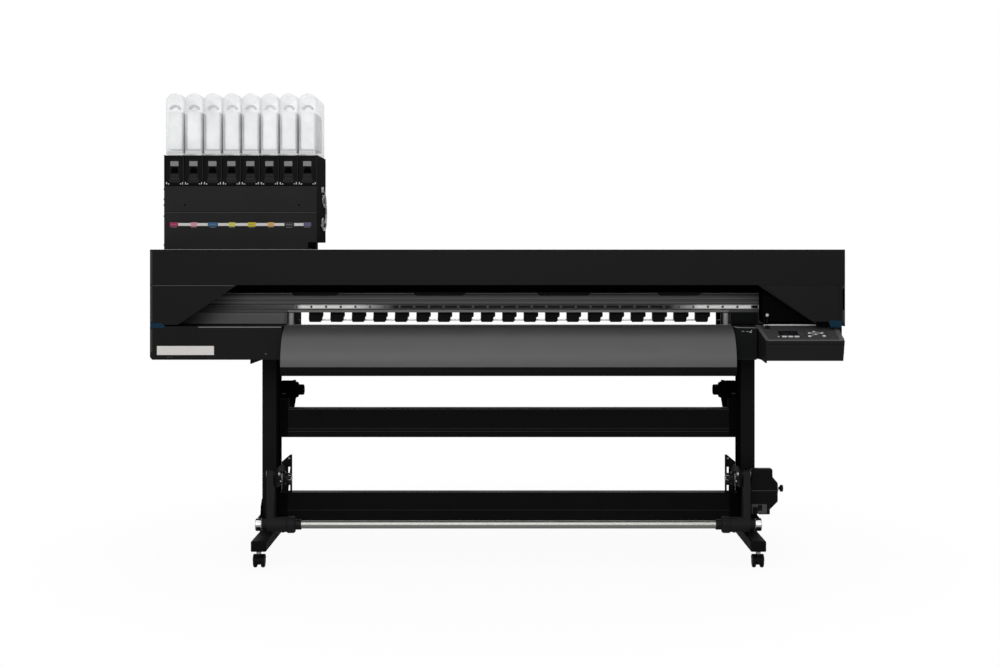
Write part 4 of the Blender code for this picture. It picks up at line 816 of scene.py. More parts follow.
def dress_control_box():
    width = BOX_HIGH.x - BOX_LEFT
    trim("panel_skin", panel_skin(0.0006), "panel_top", "panel_plastic", bevel=0.0003)
    rim = [on_panel([(0.0005, 0.002), (0.0135, 0.008), (-0.0035, SLOPE_LENGTH - 0.01),
                     (-0.0205, SLOPE_LENGTH - 0.006)], (-0.001, 0.003)),
           on_panel([(width - 0.0215, 0.012), (width - 0.0015, 0.004), (width - 0.0015, 0.142),
                     (width - 0.0215, 0.134)], (-0.001, 0.003)),
           on_panel([(0.006, 0.0005), (width - 0.006, 0.0005), (width - 0.01, 0.01), (0.01, 0.01)],
                    (-0.001, 0.0022))]
    trim("panel_rim", rim, "rim", "panel_plastic", bevel=0.0008)
    # Rear strip: painted highlight along the panel's top rear edge.
    rear = [(0.014, SLOPE_LENGTH - 0.007), (0.258, SLOPE_LENGTH - 0.007), (0.258, SLOPE_LENGTH - 0.001),
            (0.014, SLOPE_LENGTH - 0.001)]
    trim("panel_rear_strip", on_panel(rear, (-0.001, 0.003)), "rear_edge_highlight", "panel_plastic", bevel=0.0008)
    display_and_keys()
    front_seams(width)
    clamp_lever()


def display_and_keys():
    frame_outer = on_panel(rounded((0.0605, 0.1385), (0.0555, 0.0985), 0.003), (-0.002, 0.0003))
    trim("display_bezel", frame_outer, "plastic", "panel_plastic", bevel=0.0002)
    trim("display_glass", on_panel(rounded((0.063, 0.136), (0.058, 0.096), 0.002), (0.0001, 0.0009)),
         "screen", "screen", bevel=0.0003)
    marks = []
    for row, along in enumerate((0.066, 0.08)):
        for k in range(9):
            if (k * 5 + row * 3) % 7 == 0:
                continue
            x = 0.069 + 0.0072 * k
            marks.append(on_panel([(x, along), (x + 0.0052, along), (x + 0.0052, along + 0.008),
                                   (x, along + 0.008)], (0.0009, 0.0011)))
    trim("display_characters", marks, "lcd", "screen")
    keys = []
    for k in range(3):
        x = 0.0695 + 0.0245 * k
        keys.append(on_panel(rounded((x, x + 0.02), (0.0335, 0.0455), 0.004), (0.001, 0.0024)))
    piece("function_key_caps", keys, "keys", "function_keys", "black_plastic", bevel=0.0005)
    lamp_x, lamp_along = 0.056, 0.04
    trim("status_lamp", on_panel(arc((lamp_x, lamp_along), 0.0034, 0, 345, 23), (0.0002, 0.002)), "keys",
         "panel_plastic", bevel=0.0006)
    spots = ((0.2035, 0.087, 0.0055), (0.1835, 0.0745, 0.0058), (0.2337, 0.0745, 0.0058),
             (0.2074, 0.062, 0.0052), (0.1796, 0.043, 0.007), (0.2373, 0.045, 0.0072))
    caps = [on_panel(arc((x, along), r, 0, 345, 23), (0.001, 0.0025)) for x, along, r in spots]
    piece("pad_caps", caps, "keys", "jog_pad", "black_plastic", bevel=0.0005)
    links = []
    for a, b in ((1, 0), (0, 2), (1, 3), (3, 2), (3, 4)):
        start, end = Vector(spots[a][:2]), Vector(spots[b][:2])
        across = Vector((-(end - start).y, (end - start).x)).normalized() * 0.0008
        corners = [start + across, start - across, end - across, end + across]
        links.append(on_panel([tuple(c) for c in corners], (0.001, 0.0016)))
    piece("pad_lines", links, "keys", "jog_pad", "black_plastic")


def front_seams(width):
    """The box's lower shell seam, side lip and underside screws."""
    y = BOX_LOW.y
    trim("box_shell_seam", block((BOX_LEFT + 0.004, BOX_LEFT + width - 0.006), (y - 0.0003, y + 0.002),
                                 (0.8905, 0.8917)), "dark", "panel_plastic", bevel=0.0002)
    heads = [screw((x, y + 0.06, BOX_LOW.z + 0.0002), "Z", -1, 0.004, 0.002) for x in (1.1, 1.21, 1.33)]
    lip = [(y + 0.002, BOX_LOW.z + 0.001), (y + 0.002, BOX_LOW.z - 0.0085), (y + 0.02, BOX_LOW.z - 0.0075),
           (y + 0.13, BOX_LOW.z - 0.0015), (y + 0.13, BOX_LOW.z + 0.001)]
    trim("box_side_lip", prism(lip, "X", (BOX_LEFT - 0.002, BOX_LEFT + 0.004)), "box", "panel_plastic",
         bevel=0.0008)
    trim("box_screws", heads, "dark_screw", "panel_plastic")


def ball(height, radius, x, y):
    """A small sphere on the lever's upright axis."""
    turns = [(height - radius * math.cos(math.pi * k / 14), radius * math.sin(math.pi * k / 14))
             for k in range(1, 14)]
    return turned([(height - radius, 0)] + turns + [(height + radius, 0)], (x, y), "Z", 24)


def clamp_lever():
    x = (low("clamp_lever").x + high("clamp_lever").x) / 2
    y = -0.327
    top = high("clamp_lever").z - 0.0065
    base = low("clamp_lever").z + 0.005
    rod = turned([(base, 0), (base, 0.0024), (top, 0.0024), (top, 0)], (x, y), "Z", 20)
    piece("lever_rod", [rod, ball(base + 0.022, 0.004, x, y)], "plastic", "clamp_lever", "bright_steel",
          ("clamp_lever",), smooth=50)
    piece("lever_ball", [ball(top, 0.0066, x, y), ball(base + 0.0095, 0.0026, x, y)], "lever",
          "clamp_lever", "bright_steel", smooth=50)
    barrel = turned([(x - 0.01, 0), (x - 0.01, 0.0042), (x - 0.0092, 0.005), (x + 0.0092, 0.005),
                     (x + 0.01, 0.0042), (x + 0.01, 0)], (y, base), "X", 24)
    piece("lever_barrel", barrel, "plastic", "clamp_lever", "bright_steel", smooth=50)
    ears = [block((x + side * 0.0125 - 0.002, x + side * 0.0125 + 0.002), (y - 0.008, y + 0.008),
                  (base - 0.0065, base + 0.0065)) for side in (-1, 1)]
    trim("lever_ears", ears, "panel_top", "panel_plastic", bevel=0.0012)


def dress_fascia():
    """The dark panel between the apron and the control box, with its folded edge, painted light as a
    highlight, and its catch.
    """
    x = (low("right_case").x, BOX_LEFT - 0.023)
    trim("fascia_skin", strip((x[0] + 0.0015, x[1] - 0.001), (BODY_BOTTOM + 0.006, CASE_TOP - 0.004),
                              BODY_FRONT, 0.0009), "shield", bevel=0.0004)
    fold = [(x[0] - 0.006, CASE_TOP - 0.0008), (x[0] - 0.006, CASE_TOP - 0.0025),
            (x[0] + 0.012, CASE_TOP - 0.006), (x[1] - 0.002, CASE_TOP - 0.0072),
            (x[1] - 0.002, CASE_TOP - 0.0048), (x[0] + 0.016, CASE_TOP - 0.0034)]
    # Fold: painted highlight along the fascia's top edge.
    trim("fascia_fold", prism(fold, "Y", (BODY_FRONT - 0.0016, BODY_FRONT + 0.002)), "lip", bevel=0.0005)
    bars = ((0.976, 0.986, 0.936, 0.9382), (0.994, 1.002, 0.9355, 0.9378),
            (1.006, 1.015, 0.932, 0.9372), (1.0125, 1.015, 0.9372, 0.9425))
    marks = [strip((a, b), (c, d), BODY_FRONT, 0.0018) for a, b, c, d in bars]
    trim("fascia_catch", marks, "light", bevel=0.0006)


# Ink unit

def dress_ink_cabinet():
    """Two front skins with a seam and its bead painted as a highlight, a dark band under the tray painted
    as shadow, a dark strip painted as shade at the lower right corner, the colour strip, screws and the
    hoses.
    """
    x = (INK_LOW.x + 0.0012, INK_HIGH.x - 0.0012)
    face = INK_LOW.y
    trim("ink_lower_skin", strip(x, (INK_LOW.z + 0.002, 1.4172), face, 0.0014), "ink_body", bevel=0.001)
    trim("ink_upper_skin", strip(x, (1.4198, INK_HIGH.z - 0.003), face, 0.0014), "ink_body", bevel=0.001)
    # Painted shadow: a dark band just under the bays' holders.
    trim("ink_tray_shadow_band", strip(x, (INK_HIGH.z + 0.0012, INK_HIGH.z + 0.0044), face, 0.0016), "dark",
         bevel=0.0008)
    # Seam bead: painted highlight along the ink cabinet's seam.
    trim("ink_seam_bead", strip(x, (1.4158, 1.4172), face, 0.0018), "seam_highlight", bevel=0.0005)
    heads = [screw((sx, face - 0.0013, 1.4476), "Y", -1, 0.0036, 0.0018) for sx in (-1.2906, -0.8203)]
    heads += [screw((INK_LOW.x + 0.0003, -0.118, z), "X", -1, 0.0055, 0.006)
              for z in (1.5136, 1.472, 1.4476, 1.402, 1.2826)]
    heads += [screw((INK_LOW.x + 0.0003, 0.15, z), "X", -1, 0.0045, 0.003) for z in (1.5, 1.402, 1.2826)]
    heads += [screw((INK_HIGH.x - 0.0003, y, z), "X", 1, 0.004, 0.0022) for y in (-0.11, 0.16)
              for z in (1.498, 1.39, 1.315)]
    trim("ink_screws", heads, "dark")
    # Painted shade: a dark strip on the cabinet's lower right front corner, for a face that stands in
    # shadow.
    trim("ink_corner_shade_strip", strip((INK_HIGH.x - 0.036, INK_HIGH.x - 0.003), (INK_LOW.z + 0.003, 1.2945),
                                  face, 0.0022), "dark", bevel=0.001)
    colour_strip(face - 0.0013)
    side_hoses()


def colour_strip(face):
    """The white strip with a coloured square below each bay."""
    z = (1.3612, 1.373)
    runs = ((-1.3185, -1.196), (-1.154, -0.88), (-0.84, -0.776))
    trim("colour_strip", merged([strip(run, z, face, 0.0009) for run in runs]), "label", bevel=0.0003)
    squares = (
        ("magenta", -1.3525, -1.3195, (0.3, 0.014, 0.07)),
        ("light_magenta", -1.266, -1.241, (0.56, 0.25, 0.3)),
        ("blue", -1.195, -1.156, (0.016, 0.085, 0.19)), ("lime", -1.109, -1.084, (0.52, 0.52, 0.07)),
        ("yellow", -1.031, -0.998, (0.5, 0.4, 0.01)), ("orange", -0.9485, -0.923, (0.56, 0.32, 0.1)),
        ("black", -0.876, -0.844, (0.01, 0.01, 0.011)), ("violet", -0.801, -0.77, (0.075, 0.07, 0.14)),
    )
    dashes = []
    for name, a, b, colour in squares:
        square = strip((a, b), (z[0] - 0.003, z[1] + 0.003), face - 0.0007, 0.0007)
        trim("ink_square_" + name, square, ink_colour(name, colour), bevel=0.0003)
        middle = (a + b) / 2
        for k in range(3):
            x = middle - 0.0115 + 0.008 * k
            dashes.append(strip((x, x + 0.0055), (z[0] - 0.0072, z[0] - 0.0052), face, 0.0005))
            if name in ("magenta", "blue", "yellow", "black"):
                dashes.append(strip((x, x + 0.0055), (1.3664, 1.368), face - 0.0012, 0.0005))
    trim("ink_square_dashes", dashes, "tag")


def side_hoses():
    """Clear ink hoses looped through clips on the cabinet's right side."""
    x = INK_HIGH.x + 0.005
    loops = [
        [(x, -0.01, 1.5), (x + 0.002, 0.015, 1.524), (x, 0.045, 1.52), (x, 0.06, 1.492), (x, 0.03, 1.476),
         (x, 0.055, 1.455), (x + 0.002, 0.12, 1.44)],
        [(x, 0.06, 1.5), (x, 0.11, 1.47), (x + 0.002, 0.15, 1.43), (x, 0.165, 1.39),
         (x + 0.002, 0.13, 1.36), (x, 0.06, 1.345), (x, 0.02, 1.36), (x, 0.01, 1.385), (x, 0.05, 1.392),
         (x, 0.07, 1.37)],
        [(x - 0.001, 0.08, 1.515), (x, 0.13, 1.49), (x, 0.16, 1.45), (x, 0.15, 1.405), (x, 0.11, 1.372)],
    ]
    trim("side_hoses", merged([tube(path, 0.0026) for path in loops]), "hose", "clear_cover", smooth=60)
    wall = INK_HIGH.x
    elbows = [turned([(wall - 0.001, 0), (wall - 0.001, 0.0066), (wall + 0.0012, 0.0066),
                      (wall + 0.0018, 0.0046), (x + 0.0036, 0.0046), (x + 0.0046, 0.0036), (x + 0.0046, 0)],
                     (end[1], end[2]), "X", 20) for path in loops for end in (path[0], path[-1])]
    trim("hose_elbows", elbows, "hub", "black_plastic", smooth=40)
    places = ((0.02, 1.521), (0.062, 1.497), (0.128, 1.455), (0.16, 1.408), (0.095, 1.353), (0.018, 1.366))
    clips = [block((wall - 0.001, wall + 0.0088), (y - 0.004, y + 0.004), (z - 0.006, z + 0.006))
             for y, z in places]
    trim("hose_clips", clips, "clip", "black_plastic", bevel=0.0012)


def dress_bays():
    for bay in range(1, 9):
        dress_bay("ink_pack_%d" % bay)
    trim("tray_side_plate", block((INK_HIGH.x - 0.0005, INK_HIGH.x + 0.0012), (-0.135, 0.172),
                                  (INK_HIGH.z + 0.004, TRAY_TOP - 0.012)), "ink_body", bevel=0.001)


def dress_bay(node):
    """A dark holder with its tag, slot, latch and clips, and the frosted cover over a pouch above it."""
    lo, hi = low(node), high(node)
    middle = (lo.x + hi.x) / 2
    half = (hi.x - lo.x) / 2
    face = lo.y
    holder_top = TRAY_TOP - 0.001
    holder = block((lo.x + 0.0004, hi.x - 0.0004), (face + 0.004, hi.y - 0.002),
                   (lo.z + 0.0004, holder_top))
    piece(node + "_holder", holder, "plastic", node, "black_plastic", (node,), bevel=0.0025)
    cheeks = [strip(ordered(middle + s * (half - 0.0012), middle + s * (half - 0.0105)),
                    (lo.z + 0.003, holder_top - 0.004), face + 0.004, 0.0036) for s in (-1, 1)]
    cheeks.append(strip((middle - half + 0.002, middle + half - 0.002),
                        (holder_top - 0.0085, holder_top - 0.0005), face + 0.004, 0.0038))
    piece(node + "_cheeks", cheeks, "plastic", node, "black_plastic", bevel=0.001)
    tag = strip((middle - 0.0175, middle + 0.0165), (1.6085, 1.629), face + 0.0035, 0.003)
    piece(node + "_tag", tag, "tag", node, "black_plastic", bevel=0.001)
    slot_outline = [(middle - 0.015, 1.58), (middle + 0.015, 1.58), (middle + 0.015, 1.593),
                    (middle + 0.01, 1.599), (middle + 0.01, 1.604), (middle - 0.01, 1.604),
                    (middle - 0.01, 1.599), (middle - 0.015, 1.593)]
    piece(node + "_slot", prism(slot_outline, "Y", (face + 0.003, face + 0.0045)), "dark", node,
          "black_plastic", bevel=0.0006)
    latch = [(middle - 0.025, 1.539), (middle + 0.025, 1.539), (middle + 0.025, 1.552),
             (middle + 0.02, 1.559), (middle + 0.0185, 1.578), (middle - 0.0185, 1.578),
             (middle - 0.02, 1.559), (middle - 0.025, 1.552)]
    piece(node + "_latch", prism(latch, "Y", (face + 0.0004, face + 0.006)), "latch", node, "black_plastic",
          bevel=0.0018)
    ridge = [strip((middle - 0.0165, middle + 0.0165), (1.5545, 1.558), face + 0.0006, 0.0016),
             strip((middle - 0.012, middle + 0.012), (1.569, 1.5706), face + 0.0006, 0.001)]
    piece(node + "_latch_ridge", ridge, "light_edge", node, "black_plastic", bevel=0.0006)
    clips = [strip(ordered(middle + s * 0.031, middle + s * 0.035), (lo.z + 0.0014, lo.z + 0.011),
                   face + 0.003, 0.003) for s in (-1, 1)]
    clips += [strip(ordered(middle + s * 0.022, middle + s * 0.028), (lo.z + 0.0014, lo.z + 0.005),
                    face + 0.003, 0.0026) for s in (-1, 1)]
    piece(node + "_clips", clips, "clip", node, "black_plastic", bevel=0.0006)
    cover_and_pouch(node, middle, half, (face, hi.y), holder_top, hi.z)


def cover_and_pouch(node, middle, half, y, base, top):
    radius = half - 0.0008
    dome = arc((middle, top - radius), radius, 0, 180, 20)
    outline = [(middle + radius, base + 0.0004)] + dome + [(middle - radius, base + 0.0004)]
    piece(node + "_cover", prism(outline, "Y", (y[0] + 0.001, y[1])), "cover", node, "clear_cover",
          bevel=0.0075, segments=4, smooth=50)
    pouch = rounded((middle - 0.0275, middle + 0.0275), (base + 0.024, top - 0.076), 0.006)
    piece(node + "_pouch", prism(pouch, "Y", (y[0] + 0.01, y[1] - 0.02)), "pouch", node, "clear_cover",
          bevel=0.004, segments=3)
    outer = arc((middle, top - 0.072), 0.025, 15, 165, 14)
    inner = arc((middle, top - 0.072), 0.015, 165, 15, 14)
    piece(node + "_hanger", prism(outer + inner, "Y", (y[0] + 0.01, y[0] + 0.03)), "arch", node,
          "clear_cover", bevel=0.0015)
    band = [strip((middle - radius + 0.004, middle + radius - 0.004), (base + 0.0065, base + 0.0195),
                  y[0] + 0.003, 0.0028)]
    piece(node + "_band", band, "band", node, "clear_cover", bevel=0.001)
    marks = [strip((middle - 0.026 + 0.011 * k, middle - 0.019 + 0.011 * k), (base + 0.0125, base + 0.015),
                   y[0] + 0.0004, 0.0006) for k in range(5)]
    piece(node + "_band_marks", marks, "arch", node, "clear_cover")


# Stand and take-up unit

def dress_stand():
    """Beam folds, painted light as highlights, and end plates, leg edges, the legs' inner faces painted
    dark as shade, foot gussets and caps, and their screws.
    """
    beam_x = (low("upper_beam").x + 0.001, high("upper_beam").x - 0.001)
    upper, lower = low("upper_beam"), low("lower_beam")
    # Fold lines: painted highlights on the beam's bends.
    trim("upper_beam_folds", [strip(beam_x, (0.5085, 0.5105), upper.y, 0.0008),
                              strip(beam_x, (0.52, 0.5215), upper.y, 0.0005),
                              strip((beam_x[0] + 0.034, beam_x[1] - 0.034), (0.599, 0.601), upper.y,
                                    0.0005)], "fold", "stand_paint", bevel=0.0003)
    trim("upper_beam_lower_strip", strip(beam_x, (0.4865, 0.5075), upper.y, 0.002), "stand", "stand_paint",
         bevel=0.001)
    trim("lower_beam_fold", strip(beam_x, (0.1845, 0.186), lower.y, 0.0008), "fold", "stand_paint",
         bevel=0.0003)
    ends, heads = [], []
    for side in (-1, 1):
        inner = STAND_X + side * 0.9495
        for y, z in ((upper.y, (0.489, 0.643)), (lower.y, (0.144, 0.254))):
            span = ordered(inner, inner - side * 0.034)
            ends.append(strip(span, z, y, 0.0026))
            for share in (0.15, 0.5, 0.85):
                place = (inner - side * 0.017, y - 0.0025, z[0] + share * (z[1] - z[0]))
                heads.append(screw(place, "Y", -1, 0.0058, 0.004))
    trim("beam_end_plates", ends, "shade", "stand_paint", bevel=0.001)
    for node in ("left_leg", "right_leg"):
        lo, hi = low(node), high(node)
        x = (lo.x + hi.x) / 2
        for z in (lo.z + 0.03, hi.z - 0.03):
            for dx in (-0.02, 0.02):
                heads.append(screw((x + dx, hi.y + 0.0002, z), "Y", 1, 0.0055, 0.0035))
        inner_side = hi.x if node == "left_leg" else lo.x
        outward = 1 if node == "left_leg" else -1
        span = ordered(inner_side, inner_side - outward * 0.0095)
        face_x = ordered(inner_side - outward * 0.0005, inner_side + outward * 0.0008)
        # A dark sheet on each leg's inner face: painted shade on the side away from the light.
        trim(node + "_inner_face_shade", block(face_x, (lo.y + 0.0035, hi.y - 0.0035),
                                         (lo.z + 0.004, hi.z - 0.004)), "dark", "stand_paint", bevel=0.0003)
        trim(node + "_edge", strip(span, (lo.z + 0.004, hi.z - 0.004), lo.y, 0.0009), "dark", "stand_paint",
             bevel=0.0004)
    trim("stand_screws", heads, "shade", "stand_paint")
    foot_gussets()
    foot_caps()


def foot_gussets():
    """Side plates that carry each leg on its foot."""
    plates, heads = [], []
    for node, side in SIDES:
        leg_lo, leg_hi = low(node + "_leg"), high(node + "_leg")
        outer = leg_lo.x if side < 0 else leg_hi.x
        span = ordered(outer + side * 0.0002, outer + side * 0.0042)
        outline = [(-0.16, 0.115), (-0.15, 0.09), (0.01, 0.09), (0.02, 0.115), (-0.015, 0.205),
                   (-0.045, 0.23), (-0.105, 0.23), (-0.135, 0.205)]
        plates.append(prism(outline, "X", span))
        heads += [screw((span[0] if side < 0 else span[1], y, z), "X", side, 0.006, 0.004)
                  for y, z in ((-0.1, 0.2), (-0.05, 0.2), (-0.1, 0.14), (-0.05, 0.14))]
        front_plate = [(outer + side * 0.0285, 0.116), (outer + side * 0.0285, 0.143),
                       (outer + side * 0.002, 0.175), (outer - side * 0.01, 0.175),
                       (outer - side * 0.01, 0.116)]
        plates.append(prism(front_plate, "Y", (LEG_FRONT - 0.004, LEG_FRONT - 0.0004)))
    trim("foot_gussets", plates, "stand", "stand_paint", bevel=0.001)
    trim("gusset_screws", heads, "dark_screw", "stand_paint")


def foot_caps():
    caps = []
    for node in ("left_foot", "right_foot"):
        lo, hi = low(node), high(node)
        for y, out in ((lo.y, -1), (hi.y, 1)):
            inside = y - out * 0.006
            cap = rounded((lo.x + 0.004, hi.x - 0.004), (lo.z + 0.004, hi.z - 0.004), 0.005)
            caps.append(prism(cap, "Y", (y - out * 0.0001, inside)))
            groove = ordered(y + 0.001, inside)
            caps.append(block((lo.x + 0.012, hi.x - 0.012), groove, (lo.z + 0.01, lo.z + 0.0115)))
    trim("foot_caps", caps, "plastic", "black_plastic", bevel=0.0008)


def dress_take_up():
    """Motor box seam, painted light as a highlight, and covers, knob ring, switch plate and inlet, spindle
    nuts and rings.
    """
    lo, hi = low("take_up_motor_box"), high("take_up_motor_box")
    face = lo.y
    shoulder = 0.3225
    # Seam: painted highlight across the motor box.
    trim("motor_box_seam", strip((lo.x + 0.001, hi.x - 0.003), (0.2905, 0.2925), face, 0.001), "seam_highlight",
         bevel=0.0006)
    lower_cover = [(lo.x + 0.0015, lo.z + 0.0465), (lo.x + 0.031, lo.z + 0.0015),
                   (hi.x - 0.0335, lo.z + 0.0015), (hi.x - 0.0335, lo.z + 0.021),
                   (hi.x - 0.0015, lo.z + 0.053), (hi.x - 0.0015, 0.289), (lo.x + 0.0015, 0.289)]
    trim("motor_box_lower_cover", prism(lower_cover, "Y", (face - 0.0012, face + 0.002)), "motor",
         bevel=0.0012)
    upper_cover = [(lo.x + 0.0015, 0.2945), (hi.x - 0.0015, 0.2945), (hi.x - 0.0015, shoulder - 0.001),
                   (hi.x - 0.022, shoulder + 0.023), (hi.x - 0.022, hi.z - 0.011)]
    upper_cover += arc((hi.x - 0.032, hi.z - 0.0115), 0.01, 0, 90, 5)
    upper_cover += arc((lo.x + 0.0115, hi.z - 0.0115), 0.01, 90, 180, 5)
    trim("motor_box_upper_cover", prism(upper_cover, "Y", (face - 0.0012, face + 0.002)), "motor",
         bevel=0.002)
    foot, crest = shoulder + 0.022, 0.3795
    crown = [(lo.x + 0.0015, foot), (hi.x - 0.0214, foot)]
    crown += arc((hi.x - 0.0274, crest - 0.006), 0.006, 0, 90, 4)
    crown += arc((lo.x + 0.0095, crest - 0.008), 0.008, 90, 180, 5)
    trim("motor_box_crown", prism(crown, "Y", (face - 0.0022, face + 0.04)), "motor", bevel=0.0035,
         segments=3)
    knob_low, knob_high = low("take_up_knob"), high("take_up_knob")
    axis = ((knob_low.y + knob_high.y) / 2, (knob_low.z + knob_high.z) / 2)
    ring = turned([(hi.x + 0.0006, 0.0112), (hi.x + 0.0006, 0.0155), (hi.x + 0.002, 0.017),
                   (hi.x + 0.008, 0.017), (hi.x + 0.0096, 0.0155), (hi.x + 0.0096, 0.0112),
                   (hi.x + 0.0006, 0.0112)], axis, "X", 32)
    trim("knob_ring", ring, "disc", "bright_steel", smooth=40)
    end = knob_high.x
    knurls = spokes(16, 0, axis, [(end - 0.011, 0.0131), (end - 0.001, 0.0131)], 0.001)
    piece("knob_knurls", knurls, "plastic", "take_up_knob", "black_plastic", smooth=60)
    switch_plate(lo, face)
    spindle_details()


def switch_plate(lo, face):
    plate = prism(rounded((lo.x + 0.001, lo.x + 0.062), (0.199, 0.2375), 0.004), "Y",
                  (face - 0.003, face - 0.0008))
    trim("switch_plate", plate, "plate_grey", bevel=0.0006)
    inlet = [block((lo.x + 0.006, lo.x + 0.022), (face - 0.02, face - 0.002), (0.1985, 0.227)),
             block((lo.x + 0.009, lo.x + 0.019), (face - 0.025, face - 0.018), (0.202, 0.223))]
    trim("power_inlet", inlet, "plastic", "black_plastic", bevel=0.0015)
    frame_x, frame_z = (lo.x + 0.025, lo.x + 0.043), (0.211, 0.236)
    bars = [block(frame_x, (face - 0.0046, face - 0.0024), (z, z + 0.0022))
            for z in (frame_z[0], frame_z[1] - 0.0022)]
    bars += [block((x, x + 0.0022), (face - 0.0046, face - 0.0024), frame_z)
             for x in (frame_x[0], frame_x[1] - 0.0022)]
    trim("switch_frame", bars, "plastic", "black_plastic", bevel=0.0006)
    heads = [screw((lo.x + x, face - 0.0029, z), "Y", -1, 0.003, 0.0016)
             for x, z in ((0.053, 0.23), (0.053, 0.206), (0.036, 0.204))]
    trim("switch_plate_screws", heads, "dark_screw")


def spindle_details():
    """Nuts, rings and clamp screws on the take-up flanges and the dancer's pivots."""
    for side, node, body, bracket in ((-1, "take_up_idle_flange", "idle_flange", "left_take_up_bracket"),
                                      (1, "take_up_drive_flange", "drive_flange", "right_take_up_bracket")):
        near = STAND_X + side * 0.919
        ring = turned([(near - side * 0.0005, 0.0282), (near - side * 0.0005, 0.0288),
                       (near - side * 0.004, 0.0288), (near - side * 0.004, 0.0282)], TAKE_UP_AXIS, "X", 40)
        tip = STAND_X + side * (0.9197 - 0.038)
        cap = turned([(tip, 0), (tip, 0.012), (tip - side * 0.003, 0.01), (tip - side * 0.003, 0.004),
                      (tip - side * 0.001, 0.0038), (tip - side * 0.001, 0)], TAKE_UP_AXIS, "X", 28)
        fins = spokes(6, 0.3, TAKE_UP_AXIS, [(near - side * 0.015, 0.0195), (tip + side * 0.001, 0.017)],
                      0.0014)
        piece(node + "_ring", [ring, cap] + fins, "zinc", body, "bright_steel", smooth=40)
        outer = STAND_X + side * 0.966
        boss = turned([(outer - side * 0.027, 0), (outer - side * 0.027, 0.0125),
                       (outer - side * 0.0255, 0.014), (outer + side * 0.001, 0.014),
                       (outer + side * 0.0022, 0.0128), (outer + side * 0.0022, 0.006),
                       (outer + side * 0.001, 0.0056), (outer + side * 0.001, 0)], DANCER_PIVOT, "X", 36)
        piece(("left" if side < 0 else "right") + "_dancer_boss", boss, "boss", "dancer", "bright_steel",
              smooth=40)
        nut = [screw((STAND_X + side * 0.9195, *DANCER_PIVOT), "X", -side, 0.0085, 0.007),
               screw((STAND_X + side * 0.9195, -0.18, 0.345), "X", -side, 0.0055, 0.0045),
               screw((STAND_X + side * 0.9195, -0.29, 0.33), "X", -side, 0.0055, 0.0045)]
        trim(bracket + "_nuts", nut, "zinc", "bright_steel")
        heads = [screw((STAND_X + side * (0.908 + dx), low("lower_beam").y - 0.0002, z), "Y", -1, 0.0048,
                       0.0035) for dx, z in ((0.0, 0.4), (-0.002, 0.315), (0.02, 0.3), (0.02, 0.35))]
        trim(bracket + "_screws", heads, "zinc", "bright_steel")


def dress_dancer():
    """The hanging arms' collars, and the tension tube's end discs and necks."""
    for label, side in SIDES:
        outer = STAND_X + side * 1.01
        disc = turned([(outer - side * 0.0245, 0.0165), (outer - side * 0.0245, 0.024),
                       (outer - side * 0.0225, 0.0256), (outer - side * 0.002, 0.0256), (outer, 0.0238),
                       (outer, 0.015), (outer - side * 0.0015, 0.014), (outer - side * 0.0015, 0)],
                      TUBE_AXIS, "X", 48)
        piece(label + "_end_disc", disc, "disc", "tension_tube", "bright_steel", smooth=40)
        neck = turned([(outer - side * 0.043, 0), (outer - side * 0.043, 0.0195),
                       (outer - side * 0.025, 0.0195), (outer - side * 0.025, 0)], TUBE_AXIS, "X", 36)
        piece(label + "_disc_neck", neck, "hub", "tension_tube", "black_plastic", bevel=0.001, smooth=40)
        refined(label + "_dancer_arm", "arm", 0.0012, "body_paint", reshape=sleeve)
        near = STAND_X + side * 0.852
        lip = turned([(near, 0.0172), (near, 0.0205), (near - side * 0.0225, 0.0205),
                      (near - side * 0.024, 0.019), (near - side * 0.024, 0.0172), (near, 0.0172)],
                     TUBE_AXIS, "X", 36)
        ribs = spokes(10, 0, TUBE_AXIS,
                      [(STAND_X + side * 0.882, 0.0322), (STAND_X + side * 0.856, 0.0318)], 0.0022)
        piece(label + "_sleeve_lip", [lip] + ribs, "hub", "dancer", "black_plastic", bevel=0.0006,
              smooth=40)


def sleeve(place):
    """Turns the flare at the hanging arm's inner end into a stepped collar."""
    across, height = place.y - TUBE_AXIS[0], place.z - TUBE_AXIS[1]
    radius = math.hypot(across, height)
    out = abs(place.x - STAND_X)
    side = 1 if place.x > STAND_X else -1
    if out > 0.886 or radius > 0.04:
        return
    for (at, was), (to, now) in COLLAR:
        if abs(out - at) < 0.0022 and abs(radius - was) < 0.0022:
            place.x = STAND_X + side * to
            place.y = TUBE_AXIS[0] + across / radius * now
            place.z = TUBE_AXIS[1] + height / radius * now
            return


